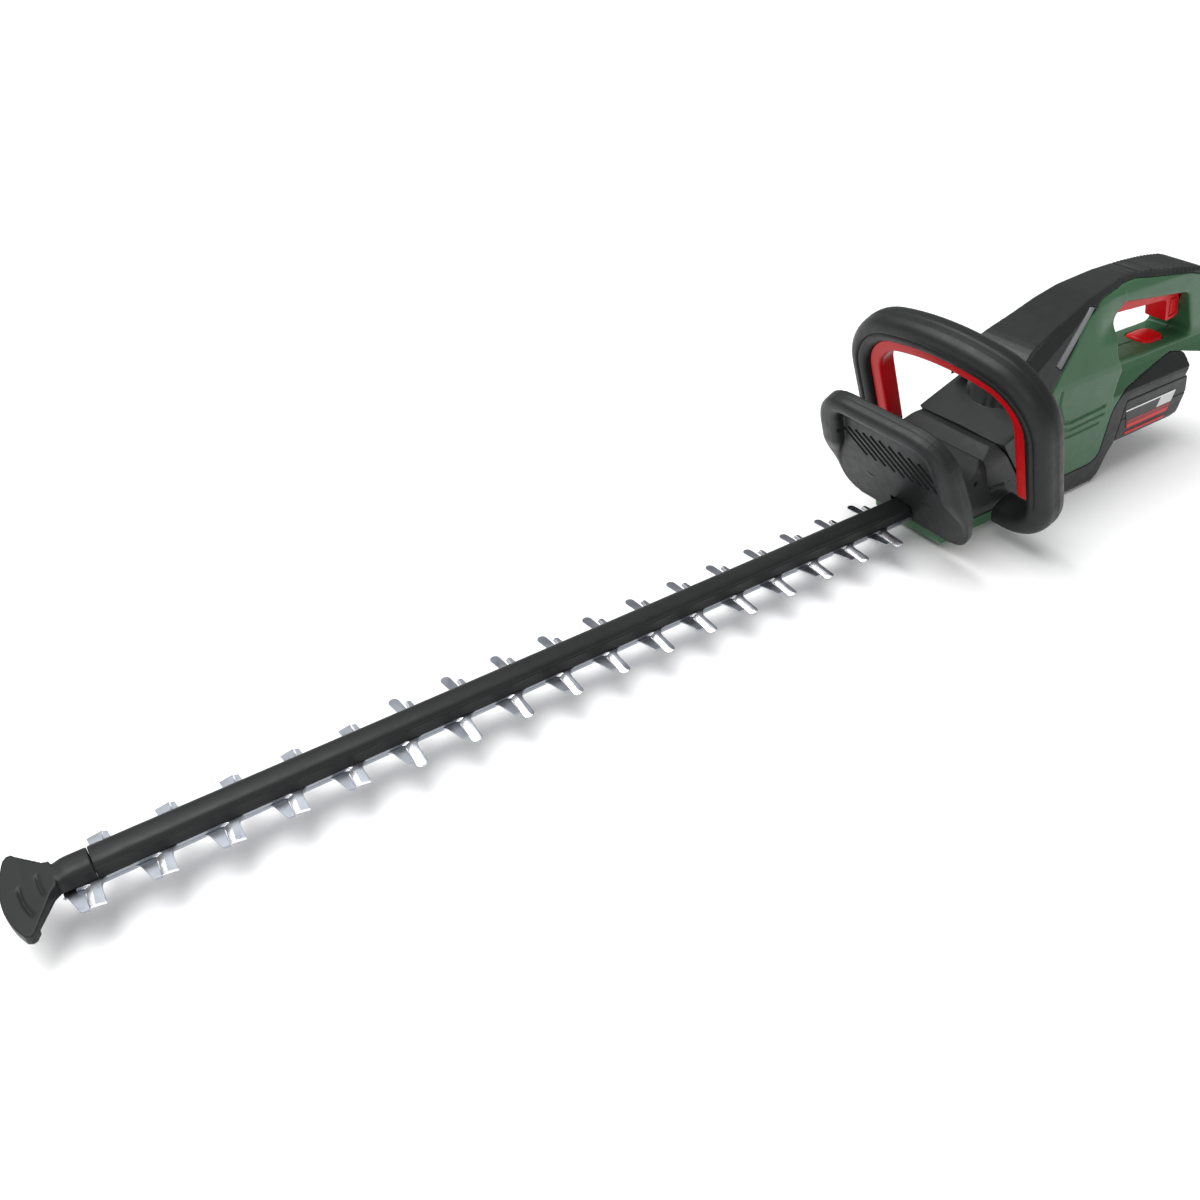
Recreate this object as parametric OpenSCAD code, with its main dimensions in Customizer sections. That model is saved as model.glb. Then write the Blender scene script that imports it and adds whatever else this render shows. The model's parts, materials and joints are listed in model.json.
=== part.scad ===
// Cordless hedge trimmer with a double reciprocating blade, a leaning front loop
// handle, a D-shaped rear handle and a slide-in battery pack.
// Side views are drawn in x (from the first tooth towards the rear handle) and
// z (up from the floor). place() then centres the machine along x.

/* [Blade] */
// Distance from one tooth to the next
tooth_pitch = 38; // [36:1:40]
// Number of tooth positions along the blade
tooth_count = 17; // [17:1:17]
// Height of the plane between the two blades above the floor
blade_z = 24; // [23:0.5:25]
// Thickness of each blade
blade_t = 2; // [1.6:0.1:2.2]
// Half width of the blade spine
spine_half = 9.8; // [9.5:0.1:10.5]
// Distance each blade moves from one end of its stroke to the other
stroke = 16; // [14:1:16]

/* [Drive] */
// Crank gear axis, from the first tooth
crank_x = 705; // [704:1:706]
// Tooth module of the reduction gears
gear_module = 1.25; // [1.2:0.01:1.25]
// Teeth on the crank gear
gear_teeth = 48; // [48:1:48]
// Teeth on the motor pinion
pinion_teeth = 12; // [12:1:12]

/* [Front handle and guard] */
// Forward lean of the loop handle, in degrees
loop_lean = 23; // [21:0.5:24]
// Half width of the loop, to the middle of its tube
loop_half = 86; // [84:0.5:88]
// Forward lean of the hand guard, in degrees
guard_lean = 25; // [23:0.5:26]
// Half width of the hand guard
guard_half = 68; // [64:1:70]

/* [Housing] */
// Half width of the lower housing and the battery
body_half = 38; // [37:0.5:38]
// Half width of the rear handle
grip_half = 21; // [20:0.5:22]
// Wall thickness of the moulded shells
wall = 3; // [2.5:0.1:3]

/* [Hidden] */
$fn = 32;

// Overall length runs from the tip guard to the back of the rear handle
tip_x = -45;
rear_x = 1009;
mid_x = (tip_x + rear_x) / 2;

gap = 0.3;                                  // space between pieces that move past each other
upper_z = blade_z + gap / 2;                // underside of the upper blade
lower_z = blade_z - gap / 2 - blade_t;      // underside of the lower blade
bar_z = upper_z + blade_t + gap;            // underside of the guide bar
bar_t = 2.5;
bar_half = 8;

// Rest positions of the blades: the upper one is 5 mm towards the tip
// from mid stroke, the lower one 5 mm towards the handle
rest_shift = 5;
slot_room = stroke / 2 + rest_shift;        // longest travel from rest
slot_rest = stroke / 2 - rest_shift;        // shortest travel from rest

bolt_r = 2.5;
bolt_xs = [for (k = [0 : 5]) 30 + k * 118];

gear_r = gear_module * gear_teeth / 2;
pinion_r = gear_module * pinion_teeth / 2;
motor_x = crank_x + gear_r + pinion_r;
gear_z = 36;
gear_t = 8;
pin_r = 5;
crank_throw = stroke / 2;
pin_y = sqrt(pow(crank_throw, 2) - pow(rest_shift, 2));

// Seam between the green shells and the pieces in front of them, in side view
seam = [[735, 24], [745, 95], [751, 118], [775, 141], [795, 162], [815, 174], [846, 179.5]];
function seam_x(z) = seam[0][0] + (z - seam[0][1]) * (seam[1][0] - seam[0][0]) / (seam[1][1] - seam[0][1]);

// ---------------------------------------------------------------- helpers

module place() {
    translate([-mid_x, 0, 0]) children();
}

// Extrudes a side view (x, z) across the width from y = y0 to y = y1
module across(y0, y1) {
    translate([0, y1, 0]) rotate([90, 0, 0]) linear_extrude(y1 - y0) children();
}

// Extrudes a cross-section (y, z) along x from x0 to x1
module along(x0, x1) {
    translate([x0, 0, 0]) rotate([90, 0, 90]) linear_extrude(x1 - x0) children();
}

function unit(v) = v / norm(v);

// Outline with every corner [x, z, setback] cut to a smooth curve that starts
// and ends its setback away from the corner
function rounded(pts, steps = 4) = [
    for (i = [0 : len(pts) - 1])
        let (
            n = len(pts),
            p = [pts[i][0], pts[i][1]],
            a = [pts[(i + n - 1) % n][0], pts[(i + n - 1) % n][1]],
            b = [pts[(i + 1) % n][0], pts[(i + 1) % n][1]],
            s = p + unit(a - p) * pts[i][2],
            e = p + unit(b - p) * pts[i][2]
        )
        each pts[i][2] == 0 ? [p] : [
            for (k = [0 : steps]) let (t = k / steps)
                (1 - t) * (1 - t) * s + 2 * t * (1 - t) * p + t * t * e
        ]
];

// The same outline with sharp corners
function sharp(pts) = [for (p = pts) [p[0], p[1]]];

// Twice the signed area of an outline
function area2(pts) = [
    for (i = [0 : len(pts) - 1]) let (q = pts[(i + 1) % len(pts)]) pts[i][0] * q[1] - pts[i][1] * q[0]
] * [for (i = [0 : len(pts) - 1]) 1];

// Polygon with its corners put in anticlockwise order
module shape(pts) {
    polygon(area2(pts) > 0 ? pts : [for (i = [len(pts) - 1 : -1 : 0]) pts[i]]);
}

// Outline moved inwards by d, or outwards where d is negative
function inset(pts, d) = let (n = len(pts), s = area2(pts) > 0 ? 1 : -1) [
    for (i = [0 : n - 1])
        let (
            e1 = unit(pts[i] - pts[(i + n - 1) % n]),
            e2 = unit(pts[(i + 1) % n] - pts[i]),
            n1 = s * [-e1[1], e1[0]],
            n2 = s * [-e2[1], e2[0]]
        )
        pts[i] + d * (n1 + n2) / (1 + n1 * n2)
];

// Rectangle with round corners, centred
module round_rect(w, h, r) {
    square([w - 2 * r, h], center = true);
    square([w, h - 2 * r], center = true);
    for (sx = [-1, 1], sy = [-1, 1]) translate([sx * (w / 2 - r), sy * (h / 2 - r)]) circle(r);
}

// Helical compression spring standing on z = 0
module coil(r, wire, turns, height) {
    sides = 6;
    per_turn = 12;
    steps = turns * per_turn;
    rise = height - 2 * wire;
    pts = [
        for (i = [0 : steps], j = [0 : sides - 1])
            let (a = 360 * i / per_turn, b = 360 * j / sides, q = r + wire * cos(b))
            [q * cos(a), q * sin(a), wire + rise * i / steps + wire * sin(b)]
    ];
    skin = [
        for (i = [0 : steps - 1], j = [0 : sides - 1])
            let (a = i * sides + j, b = i * sides + (j + 1) % sides)
            each [[a, b + sides, b], [a, a + sides, b + sides]]
    ];
    last = steps * sides;
    caps = [for (j = [1 : sides - 2]) each [[0, j, j + 1], [last, last + j + 1, last + j]]];
    polyhedron(pts, concat(skin, caps));
}

// Hexagonal or round-headed screw pointing down from z = 0
module screw(r, length, head_r, head_t) {
    cylinder(r = head_r, h = head_t);
    translate([0, 0, -length]) cylinder(r = r, h = length);
}

// ---------------------------------------------------------------- blades

tip_round = 3.6;
tip_in = -4.6;          // middle of a round tooth tip, from the tooth's own line
tip_out = 20;
saw_count = 5;          // square-ended teeth at the outer end of the blade

// Tooth outlines, out from the edge of the spine; long teeth lean towards the tip
long_pts = [
    [-6, 0], [tip_in - tip_round, tip_out], [tip_in + tip_round, tip_out], [-0.4, 8], [0.8, 3.5], [3.6, 0]
];
saw_pts = [[-6, 0], [-7.5, 15.6], [1.2, 17.2], [1.7, 5], [2.5, 2], [4.5, 0]];
short_upper_pts = [[-2.8, 0], [-2.1, 14], [1.4, 13.2], [2.5, 0]];
short_lower_pts = [[-5, 0], [-1.4, 14.4], [3.1, 14.8], [3.8, 0]];

// A run of equal teeth; side is 1 or -1 for the side of the spine they stand on
module teeth_run(pts, dx, side, from, to) {
    for (k = [from : to]) translate([k * tooth_pitch + dx, side * (spine_half - 0.3)])
        shape([for (p = pts) [p[0], side * p[1]]]);
}

heel_len = 28;
heel_half = 21;

// Flat outline of a blade. long_side is the side of its long teeth, heel_x its
// yoke, slot_lo and slot_hi how far the bolt slots reach each way
module blade_outline(start, long_x, short_x, short_pts, long_side, heel_x, slot_lo, slot_hi) {
    last = tooth_count - 1;
    difference() {
        union() {
            translate([start, -spine_half]) square([heel_x - heel_len / 2 - start + 1, 2 * spine_half]);
            translate([heel_x - heel_len / 2, -heel_half]) square([heel_len, 2 * heel_half]);
            teeth_run(saw_pts, long_x, long_side, 0, saw_count - 1);
            teeth_run(long_pts, long_x, long_side, saw_count, last);
            for (k = [saw_count : last])
                translate([k * tooth_pitch + long_x + tip_in, long_side * (spine_half - 0.3 + tip_out)])
                    circle(tip_round);
            teeth_run(short_pts, short_x, -long_side, 0, last);
        }
        // Yoke slot for the crank pin
        translate([heel_x - pin_r - 0.4, -9]) square([2 * (pin_r + 0.4), 18]);
        for (s = [-1, 1]) translate([heel_x, s * 9]) circle(pin_r + 0.4);
        // Slots for the fixed blade bolts
        for (x = bolt_xs) {
            translate([x - slot_lo, -bolt_r - gap]) square([slot_lo + slot_hi, 2 * (bolt_r + gap)]);
            for (e = [-slot_lo, slot_hi]) translate([x + e, 0]) circle(bolt_r + gap);
        }
    }
}

module blade_upper() {
    color("silver") place() translate([0, 0, upper_z]) linear_extrude(blade_t)
        blade_outline(-10, 0.3, 13, short_upper_pts, -1, crank_x - rest_shift, slot_room, slot_rest);
}

module blade_lower() {
    color("silver") place() translate([0, 0, lower_z]) linear_extrude(blade_t)
        blade_outline(-16.5, 10.4, -10.3, short_lower_pts, 1, crank_x + rest_shift, slot_rest, slot_room);
}

module guide_bar() {
    color("lightgray") place() difference() {
        translate([-8, -bar_half, bar_z]) cube([664, 2 * bar_half, bar_t]);
        for (x = bolt_xs) translate([x, 0, bar_z - 1]) cylinder(r = bolt_r + 0.05, h = bar_t + 2);
    }
}

module blade_bolts() {
    head_z = lower_z - gap;
    color("dimgray") place() for (x = bolt_xs) translate([x, 0, 0]) {
        translate([0, 0, head_z - 3]) cylinder(r = 5.5, h = 3);
        translate([0, 0, head_z]) cylinder(r = bolt_r, h = bar_z + bar_t + 4.4 - head_z);
    }
}

module blade_nuts() {
    color("gainsboro") place() for (x = bolt_xs) translate([x, 0, bar_z + bar_t]) difference() {
        cylinder(r = 4.6, h = 3.6, $fn = 6);
        translate([0, 0, -1]) cylinder(r = bolt_r, h = 6);
    }
}

// ---------------------------------------------------------------- bar cover and tip

cover_half = 9.6;
cover_top = blade_z + 13.5;
cover_x0 = 2;
cover_x1 = 651;

// Cross-section of the cover: flat flanks, a crease, then a domed top
cover_outer = rounded([
    [-cover_half, bar_z, 0], [cover_half, bar_z, 0], [8.4, blade_z + 9.3, 1], [4.5, cover_top, 4],
    [-4.5, cover_top, 4], [-8.4, blade_z + 9.3, 1]
], 3);
cover_inner = [
    [-8.2, bar_z - 1], [8.2, bar_z - 1], [8.2, bar_z + 2.8], [7.1, blade_z + 8.8],
    [3.2, cover_top - 1.6], [-3.2, cover_top - 1.6], [-7.1, blade_z + 8.8], [-8.2, bar_z + 2.8]
];

module bar_cover() {
    color("#222222") place() difference() {
        along(cover_x0, cover_x1) shape(cover_outer);
        along(cover_x0 - 1, cover_x1 + 1) shape(cover_inner);
    }
}

paddle_half = 31;

module tip_guard() {
    neck_x = -18;
    arc_r = 70;
    color("#2a2c2c") place() difference() {
        union() {
            // Fan-shaped paddle with a round leading edge
            intersection() {
                translate([0, 0, blade_z - 4]) linear_extrude(10) shape(rounded([
                    [-60, -paddle_half, 0], [-34, -paddle_half, 4], [neck_x, -9.2, 4],
                    [neck_x, 9.2, 4], [-34, paddle_half, 4], [-60, paddle_half, 0]
                ]));
                translate([tip_x + arc_r, 0, blade_z - 10]) cylinder(r = arc_r, h = 30);
            }
            // Sleeve that carries on the line of the bar cover
            along(neck_x - 8, cover_x0 - 0.2) shape(cover_outer);
        }
        // Room for the blades over their strokes and for the end of the guide bar
        translate([-32, -40, 10]) cube([60, 80, bar_z - 10]);
        translate([-10, -bar_half - 0.1, bar_z - 1]) cube([20, 2 * bar_half + 0.2, bar_t + 1.1]);
    }
}

// ---------------------------------------------------------------- drive

pressure = 20;
function involute(base, t) = base * [cos(t) + t * PI / 180 * sin(t), sin(t) - t * PI / 180 * cos(t)];
function turned(p, a) = [p[0] * cos(a) - p[1] * sin(a), p[0] * sin(a) + p[1] * cos(a)];

// Spur gear outline with involute flanks; a tooth points along +x
module spur(teeth, m, backlash) {
    pitch_r = m * teeth / 2;
    base_r = pitch_r * cos(pressure);
    top_r = pitch_r + 0.9 * m;
    root_r = pitch_r - 1.15 * m;
    t_pitch = tan(pressure) * 180 / PI;
    half = 90 / teeth - backlash / pitch_r * 90 / PI;
    base_half = half + t_pitch - pressure;
    t_top = sqrt(pow(top_r / base_r, 2) - 1) * 180 / PI;
    t_low = root_r > base_r ? sqrt(pow(root_r / base_r, 2) - 1) * 180 / PI : 0;
    flank = [for (k = [0 : 4]) turned(involute(base_r, t_low + (t_top - t_low) * k / 4), -base_half)];
    foot = root_r < base_r ? [turned([root_r, 0], -base_half)] : [];
    side = concat(foot, flank);
    one = concat(side, [for (k = [len(side) - 1 : -1 : 0]) [side[k][0], -side[k][1]]]);
    shape([for (i = [0 : teeth - 1]) each [for (p = one) turned(p, 360 * i / teeth)]]);
}

module drive_gear() {
    color("#8d8f92") place() translate([crank_x, 0, gear_z]) difference() {
        linear_extrude(gear_t) spur(gear_teeth, gear_module, 0.12);
        translate([0, 0, -1]) cylinder(r = 6.05, h = gear_t + 2);
        for (a = [0 : 60 : 300]) rotate([0, 0, a + 30]) translate([18, 0, -1]) cylinder(r = 5, h = gear_t + 2);
    }
}

// Disc with the two crank pins, half a turn apart
module crank_disc() {
    disc_z = gear_z - 4.5;
    pin_end = upper_z + blade_t + 0.4;
    color("#77797c") place() translate([crank_x, 0, 0]) {
        difference() {
            translate([0, 0, disc_z]) cylinder(r = 15, h = 4.5);
            translate([0, 0, disc_z - 1]) cylinder(r = 6.05, h = 8);
        }
        for (s = [-1, 1]) translate([-s * rest_shift, s * pin_y, pin_end])
            cylinder(r = pin_r, h = disc_z - pin_end + 0.1);
    }
}

gear_shaft_top = 59;

module gear_shaft() {
    color("#a5a7aa") place() translate([crank_x, 0, 0]) {
        translate([0, 0, gear_z - 4.2]) cylinder(r = 6, h = gear_t + 4.2);
        translate([0, 0, gear_z + gear_t]) cylinder(r = 5, h = gear_shaft_top - gear_z - gear_t);
    }
}

// Ball bearing as an inner ring and an outer ring joined by its cage
module bearing(bore, outer, height) {
    difference() {
        cylinder(r = outer, h = height);
        translate([0, 0, -1]) cylinder(r = bore, h = height + 2);
        for (z = [-0.5, height - 0.5]) translate([0, 0, z]) difference() {
            cylinder(r = outer - 2, h = 1);
            translate([0, 0, -1]) cylinder(r = bore + 2, h = 3);
        }
    }
}

module gear_bearings() {
    color("#c9cbcd") place() translate([crank_x, 0, plate_z + 0.5]) bearing(5.05, 11, 12);
}

module motor_pinion() {
    color("#9a9c9f") place() translate([motor_x, 0, gear_z - 1]) difference() {
        rotate([0, 0, 180 / pinion_teeth]) linear_extrude(gear_t + 1.5) spur(pinion_teeth, gear_module, 0.12);
        translate([0, 0, -1]) cylinder(r = 3, h = gear_t + 4);
    }
}

stator_z = 66;
stator_t = 36;
rotor_r = 13.5;

module motor_shaft() {
    color("#b5b7ba") place() translate([motor_x, 0, gear_z - 1]) cylinder(r = 3, h = 86);
}

module motor_rotor() {
    color("#5c5e61") place() translate([motor_x, 0, stator_z + 1]) difference() {
        cylinder(r = rotor_r, h = stator_t - 2);
        translate([0, 0, -1]) cylinder(r = 3, h = stator_t);
        for (a = [0 : 45 : 315]) rotate([0, 0, a]) translate([rotor_r, 0, -1]) cylinder(r = 0.8, h = stator_t);
    }
}

module cooling_fan() {
    fan_z = stator_z + stator_t + 4;
    color("#3c3e40") place() translate([motor_x, 0, fan_z]) {
        difference() {
            union() {
                cylinder(r = 7, h = 8);
                cylinder(r = 21, h = 1.6);
                for (a = [0 : 40 : 320]) rotate([0, 0, a]) translate([6, -0.8, 0]) cube([15, 1.6, 8]);
            }
            translate([0, 0, -1]) cylinder(r = 3, h = 10);
        }
    }
}

module motor_stator() {
    color("#6e7073") place() translate([motor_x, 0, stator_z]) difference() {
        cylinder(r = 25, h = stator_t);
        translate([0, 0, -1]) cylinder(r = rotor_r + 0.6, h = stator_t + 2);
        for (a = [0 : 60 : 300]) rotate([0, 0, a]) translate([18, 0, -1]) cylinder(r = 4.4, h = stator_t + 2);
    }
}

module stator_windings() {
    color("#b5652b") place() translate([motor_x, 0, stator_z - 2]) for (a = [0 : 60 : 300])
        rotate([0, 0, a]) translate([18, 0, 0]) cylinder(r = 4.3, h = stator_t + 4);
}

module motor_bearings() {
    color("#c9cbcd") place() translate([motor_x, 0, 0]) {
        translate([0, 0, plate_z + 2.5]) bearing(3.05, 8, 7);
        translate([0, 0, 115]) bearing(3.05, 8, 5);
    }
}

can_r = 28;
can_h = 32;

// End bell over the fan, with the seat of the top bearing
module motor_can() {
    color("#565a5d") place() translate([motor_x, 0, step_z + gap]) difference() {
        cylinder(r = can_r, h = can_h);
        translate([0, 0, -1]) cylinder(r = 25.6, h = 25.4);
        translate([0, 0, 20]) cylinder(r = 8, h = 9.8);
        translate([0, 0, 20]) cylinder(r = 4, h = 20);
        for (a = [0 : 60 : 300]) rotate([0, 0, a]) translate([22, -3, 12]) cube([10, 6, 9]);
    }
}

// ---------------------------------------------------------------- gearbox

case_x0 = 656;
case_x1 = 770;
case_half = 44;
base_top = 18;
step_x = 686;           // where the gearbox steps up to the motor cowl
step_z = 90;

// Tray under the blades; its flat underside is the front foot of the machine
module gearbox_base() {
    color("#4a6b4c") place() difference() {
        intersection() {
            across(-34, 34) shape(rounded([
                [648, base_top, 0], [650, 12, 2], [660, 0, 3],
                [764, 0, 3], [case_x1, 8, 2], [case_x1, base_top, 0]
            ]));
            along(640, 780) shape([[-34, base_top], [-34, 8], [-27, 0], [27, 0], [34, 8], [34, base_top]]);
        }
        translate([660, -30, 5]) cube([104, 60, 30]);
    }
}

// Cross-section of the gearbox: upright flanks with a narrower foot and shoulders
case_section = rounded([
    [-34, base_top + gap, 3], [34, base_top + gap, 3], [case_half, 34, 6], [case_half, 74, 6],
    [33, step_z, 4], [-33, step_z, 4], [-case_half, 74, 6], [-case_half, 34, 6]
], 2);
front_bottom = [case_x0 - 2, 44];
front_top = [case_x0 + 6, 70];
face_run = 0.3 * (front_top - front_bottom);
plate_z = 46;
plate_t = 13;

module gearbox_case() {
    color("#3a3d3f") place() difference() {
        union() {
            intersection() {
                across(-50, 50) shape([
                    [case_x0, base_top + gap], [seam_x(base_top) - gap, base_top + gap],
                    [seam_x(step_z) - gap, step_z], [step_x - 8, step_z], front_top, front_bottom
                ]);
                along(640, 780) shape(case_section);
            }
            // Narrow part inside the housing, round the motor
            translate([730, -34.5, base_top + gap]) cube([case_x1 - 730, 69, step_z - base_top - gap]);
        }
        // Gear space
        translate([case_x0 + 4, -32, base_top - 1]) cube([104, 64, plate_z - base_top + 1.1]);
        // Seat for the bearing plate and the motor
        translate([case_x0 + 14, -31, plate_z]) cube([94, 62, plate_t + 0.3]);
        translate([motor_x, 0, plate_z + plate_t]) cylinder(r = 25.05, h = 60);
        // Way in for the blades, guide bar and cover
        translate([case_x0 - 10, -10.4, base_top - 1]) cube([20, 20.8, cover_top - base_top + 1.3]);
        // Guard screw holes
        for (s = [-1, 1]) translate([case_x0 - 10, s * 30, 56]) rotate([0, 90, 0]) cylinder(r = 2, h = 26);
    }
}

// Aluminium plate that holds the bearings over the gears
module bearing_plate() {
    color("#aeb1b4") place() difference() {
        translate([case_x0 + 14.2, -30.8, plate_z]) cube([93.6, 61.6, plate_t]);
        translate([crank_x, 0, plate_z - 1]) cylinder(r = 6.5, h = 20);
        translate([crank_x, 0, plate_z + 0.5]) cylinder(r = 11, h = 20);
        translate([motor_x, 0, plate_z - 1]) cylinder(r = 7, h = 20);
        translate([motor_x, 0, plate_z + 2.5]) cylinder(r = 8, h = 20);
    }
}

// Faceted nose over the motor, with a ridge along the middle
module nose(t) {
    hull() {
        translate([step_x + 2 + t, -case_half + 1 + t, step_z + gap])
            cube([56 - t, 2 * (case_half - 1 - t), 9 - t]);
        translate([716 + t, -29 + t, 120]) cube([28 - t, 2 * (29 - t), 8 - t]);
        translate([713 + t, -3, 124]) cube([31 - t, 6, 8 - t]);
    }
}

module motor_cowl() {
    color("#4b4f51") place() difference() {
        nose(0);
        translate([0, 0, -0.01]) intersection() {
            nose(wall);
            translate([600, -60, 0]) cube([113, 120, 200]);
        }
        translate([motor_x, 0, step_z - 1]) cylinder(r = 28.4, h = 33.6);
    }
}

// ---------------------------------------------------------------- hand guard

guard_x = 647;
guard_z = 27;
guard_t = 5;
guard_top = 112;
guard_screw_y = 30;
guard_screw_z = 56;
slit_count = 9;
slit_pitch = 9;
slit_len = 42;
slit_v = 64;

// Local frame: x is the guard's rearward normal, z runs up the guard
module guard_frame() {
    translate([guard_x, 0, guard_z]) rotate([0, -guard_lean, 0]) children();
}

guard_outline = rounded([
    [-guard_half + 4, -6, 22], [guard_half - 4, -6, 22], [guard_half + 6, 40, 20],
    [guard_half - 4, guard_top + 2, 34], [-guard_half + 4, guard_top + 2, 34], [-guard_half - 6, 40, 20]
], 5);

module hand_guard() {
    color("#262828") place() difference() {
        union() {
            guard_frame() along(-guard_t, 0) shape(guard_outline);
            // Rolled upper edge
            guard_frame() difference() {
                along(-15, -guard_t + 0.1) shape(guard_outline);
                along(-16, -guard_t + 0.2) shape(inset(guard_outline, 5));
                translate([-20, -100, -20]) cube([30, 200, 82]);
            }
            // Bosses that carry the guard on the gearbox
            for (s = [-1, 1]) difference() {
                translate([630, s * guard_screw_y, guard_screw_z]) rotate([0, 90, 0]) cylinder(r = 7, h = 40);
                across(-50, 50) shape([
                    front_bottom - face_run + [-0.05, 0], front_top + face_run + [-0.05, 0],
                    front_top + [30, 8], front_bottom + [30, -8]]);
                guard_frame() translate([-60, -60, -20]) cube([58, 120, 160]);
            }
        }
        // Notch for the blade and its cover
        translate([600, -11, 0]) cube([80, 22, cover_top + 0.8]);
        for (s = [-1, 1]) translate([600, s * guard_screw_y, guard_screw_z]) rotate([0, 90, 0]) {
            cylinder(r = 2.3, h = 80);
            cylinder(r = 4.6, h = 33);
        }
        // Diagonal ventilation slits
        guard_frame() for (k = [0 : slit_count - 1])
            translate([-guard_t - 1, slit_pitch * ((slit_count - 1) / 2 - k), slit_v]) rotate([-45, 0, 0])
                translate([0, -1.2, -slit_len / 2]) cube([guard_t + 2, 2.4, slit_len]);
    }
}

module guard_screws() {
    color("#9fa1a4") place() for (s = [-1, 1])
        translate([633, s * guard_screw_y, guard_screw_z]) rotate([0, -90, 0]) screw(1.95, 34, 4, 2.6);
}

// ---------------------------------------------------------------- loop handle

loop_x = 714;           // where the loop's middle plane meets the blade plane
top_v = 162;            // height of the tube's middle at the top, along the loop
bottom_v = 3.5;
corner_r = 50;
crown_r = 214;
foot_r = 33;
crown_a = asin((loop_half - corner_r) / (crown_r - corner_r));
corner_v = top_v - crown_r + (crown_r - corner_r) * cos(crown_a);

// Half profiles [outward, rearward] of the two tube shells, closed and slotted
closed_profile = [
    [11.5, 0], [11.5, 6], [10.4, 10.4], [7.2, 13.2], [3, 14], [-3, 14], [-7.2, 13.2], [-10.4, 10.4], [-11.5, 6],
    [-11.5, 0], [-9.2, 0], [-9.2, 5.2], [-8.2, 9], [-5.8, 11.1], [-2.6, 11.6], [2.6, 11.6], [5.8, 11.1],
    [8.2, 9], [9.2, 5.2], [9.2, 0]
];
slotted_profile = [
    [11.5, 0], [11.5, 6], [10.4, 10.4], [7.2, 13.2], [3, 14], [-3, 14], [-7.2, 13.2], [-10.4, 10.4], [-11, 8.8],
    [-8.3, 8.8], [-5.8, 11.1], [-2.6, 11.6], [2.6, 11.6], [5.8, 11.1], [8.2, 9], [9.2, 5.2], [9.2, 0]
];
bar_profile = [
    [-20.6, -6], [-18.6, -8.5], [-9.4, -8.5], [-9.4, 8.5], [-18.6, 8.5], [-20.6, 6]
];

// Local frame of the loop: x is its rearward normal, z runs up the loop
module loop_frame() {
    translate([loop_x, 0, blade_z]) rotate([0, -loop_lean, 0]) children();
}

// Sweeps a profile [outward, rearward] along an arc about [y, v]
module loop_arc(profile, y, v, r, from, sweep) {
    translate([0, y, v]) rotate([0, 90, 0]) rotate([0, 0, from])
        rotate_extrude(angle = sweep, $fn = 72) shape([for (p = profile) [r + p[0], p[1]]]);
}

// Top, shoulders and legs, down to v0
module loop_arch(profile, v0) {
    loop_arc(profile, 0, top_v - crown_r, crown_r, 180 - crown_a, 2 * crown_a);
    loop_arc(profile, loop_half - corner_r, corner_v, corner_r, 90, 90 - crown_a);
    loop_arc(profile, corner_r - loop_half, corner_v, corner_r, 180 + crown_a, 90 - crown_a);
    for (s = [-1, 1]) translate([0, 0, v0]) linear_extrude(corner_v - v0)
        shape([for (p = profile) [p[1], s * (loop_half + p[0])]]);
}

// Foot of each side, from v1 down and in to the gearbox
module loop_feet(profile, v1) {
    foot_y = loop_half - foot_r;
    run = foot_y - case_half - 0.2;
    loop_arc(profile, foot_y, bottom_v + foot_r, foot_r, 0, 90);
    loop_arc(profile, -foot_y, bottom_v + foot_r, foot_r, 270, 90);
    for (s = [-1, 1]) {
        translate([0, 0, bottom_v + foot_r]) linear_extrude(v1 - bottom_v - foot_r)
            shape([for (p = profile) [p[1], s * (loop_half + p[0])]]);
        translate([0, s > 0 ? foot_y : run - foot_y, bottom_v]) rotate([90, 0, 0]) linear_extrude(run)
            shape([for (p = profile) [p[1], -p[0]]]);
    }
}

// One half of the tube: side is -1 for the front half and 1 for the rear
module loop_shell(side) {
    loop_arch([for (p = slotted_profile) [p[0], side * (p[1] + 0.01)]], bottom_v + foot_r + 1);
    loop_feet([for (p = closed_profile) [p[0], side * (p[1] + 0.01)]], bottom_v + foot_r + 1);
}

module loop_front_shell() {
    color("#242626") place() loop_frame() loop_shell(-1);
}

module loop_rear_shell() {
    color("#2c2e2e") place() loop_frame() loop_shell(1);
}

module loop_switch_bar() {
    color("#c4161c") place() loop_frame() loop_arch(bar_profile, bottom_v + foot_r + 2.4);
}

loop_spring_y = 24;
crown_drop = crown_r - sqrt(pow(crown_r, 2) - pow(loop_spring_y, 2));

module loop_springs() {
    color("silver") place() loop_frame() for (s = [-1, 1])
        translate([0, s * loop_spring_y, top_v - 9 - crown_drop]) coil(3.4, 0.6, 4, 17.4);
}

module loop_switches() {
    color("#1b1b1b") place() loop_frame() for (s = [-1, 1])
        translate([-3.2, s * 48 - 6, top_v - 10]) cube([6.4, 12, 8]);
}

// ---------------------------------------------------------------- housing outlines

button_x = 931;
button_l = 48;
button_half = 9;
bridge_z = 107;         // top of the bridge under the hand opening

// Cross-section of the front of the housing: upright, then leaning in to the top
front_section = [
    [-body_half, -5], [body_half, -5], [body_half, 114], [body_half - 0.8, 119], [22.6, 170], [18, 178],
    [12, 184.5], [-12, 184.5], [-18, 178], [-22.6, 170], [-body_half + 0.8, 119], [-body_half, 114]
];

// Cross-section of the rear: wide dock below, sweeping in to the narrow handle
rear_section = [
    [-body_half, -5], [body_half, -5], [body_half, 82], [body_half - 1.4, 87], [grip_half + 1.6, 105],
    [grip_half, 110], [grip_half, 171], [18, 178], [12, 184.5], [-12, 184.5], [-18, 178], [-grip_half, 171],
    [-grip_half, 110], [-grip_half - 1.6, 105], [-body_half + 1.4, 87], [-body_half, 82]
];

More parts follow.
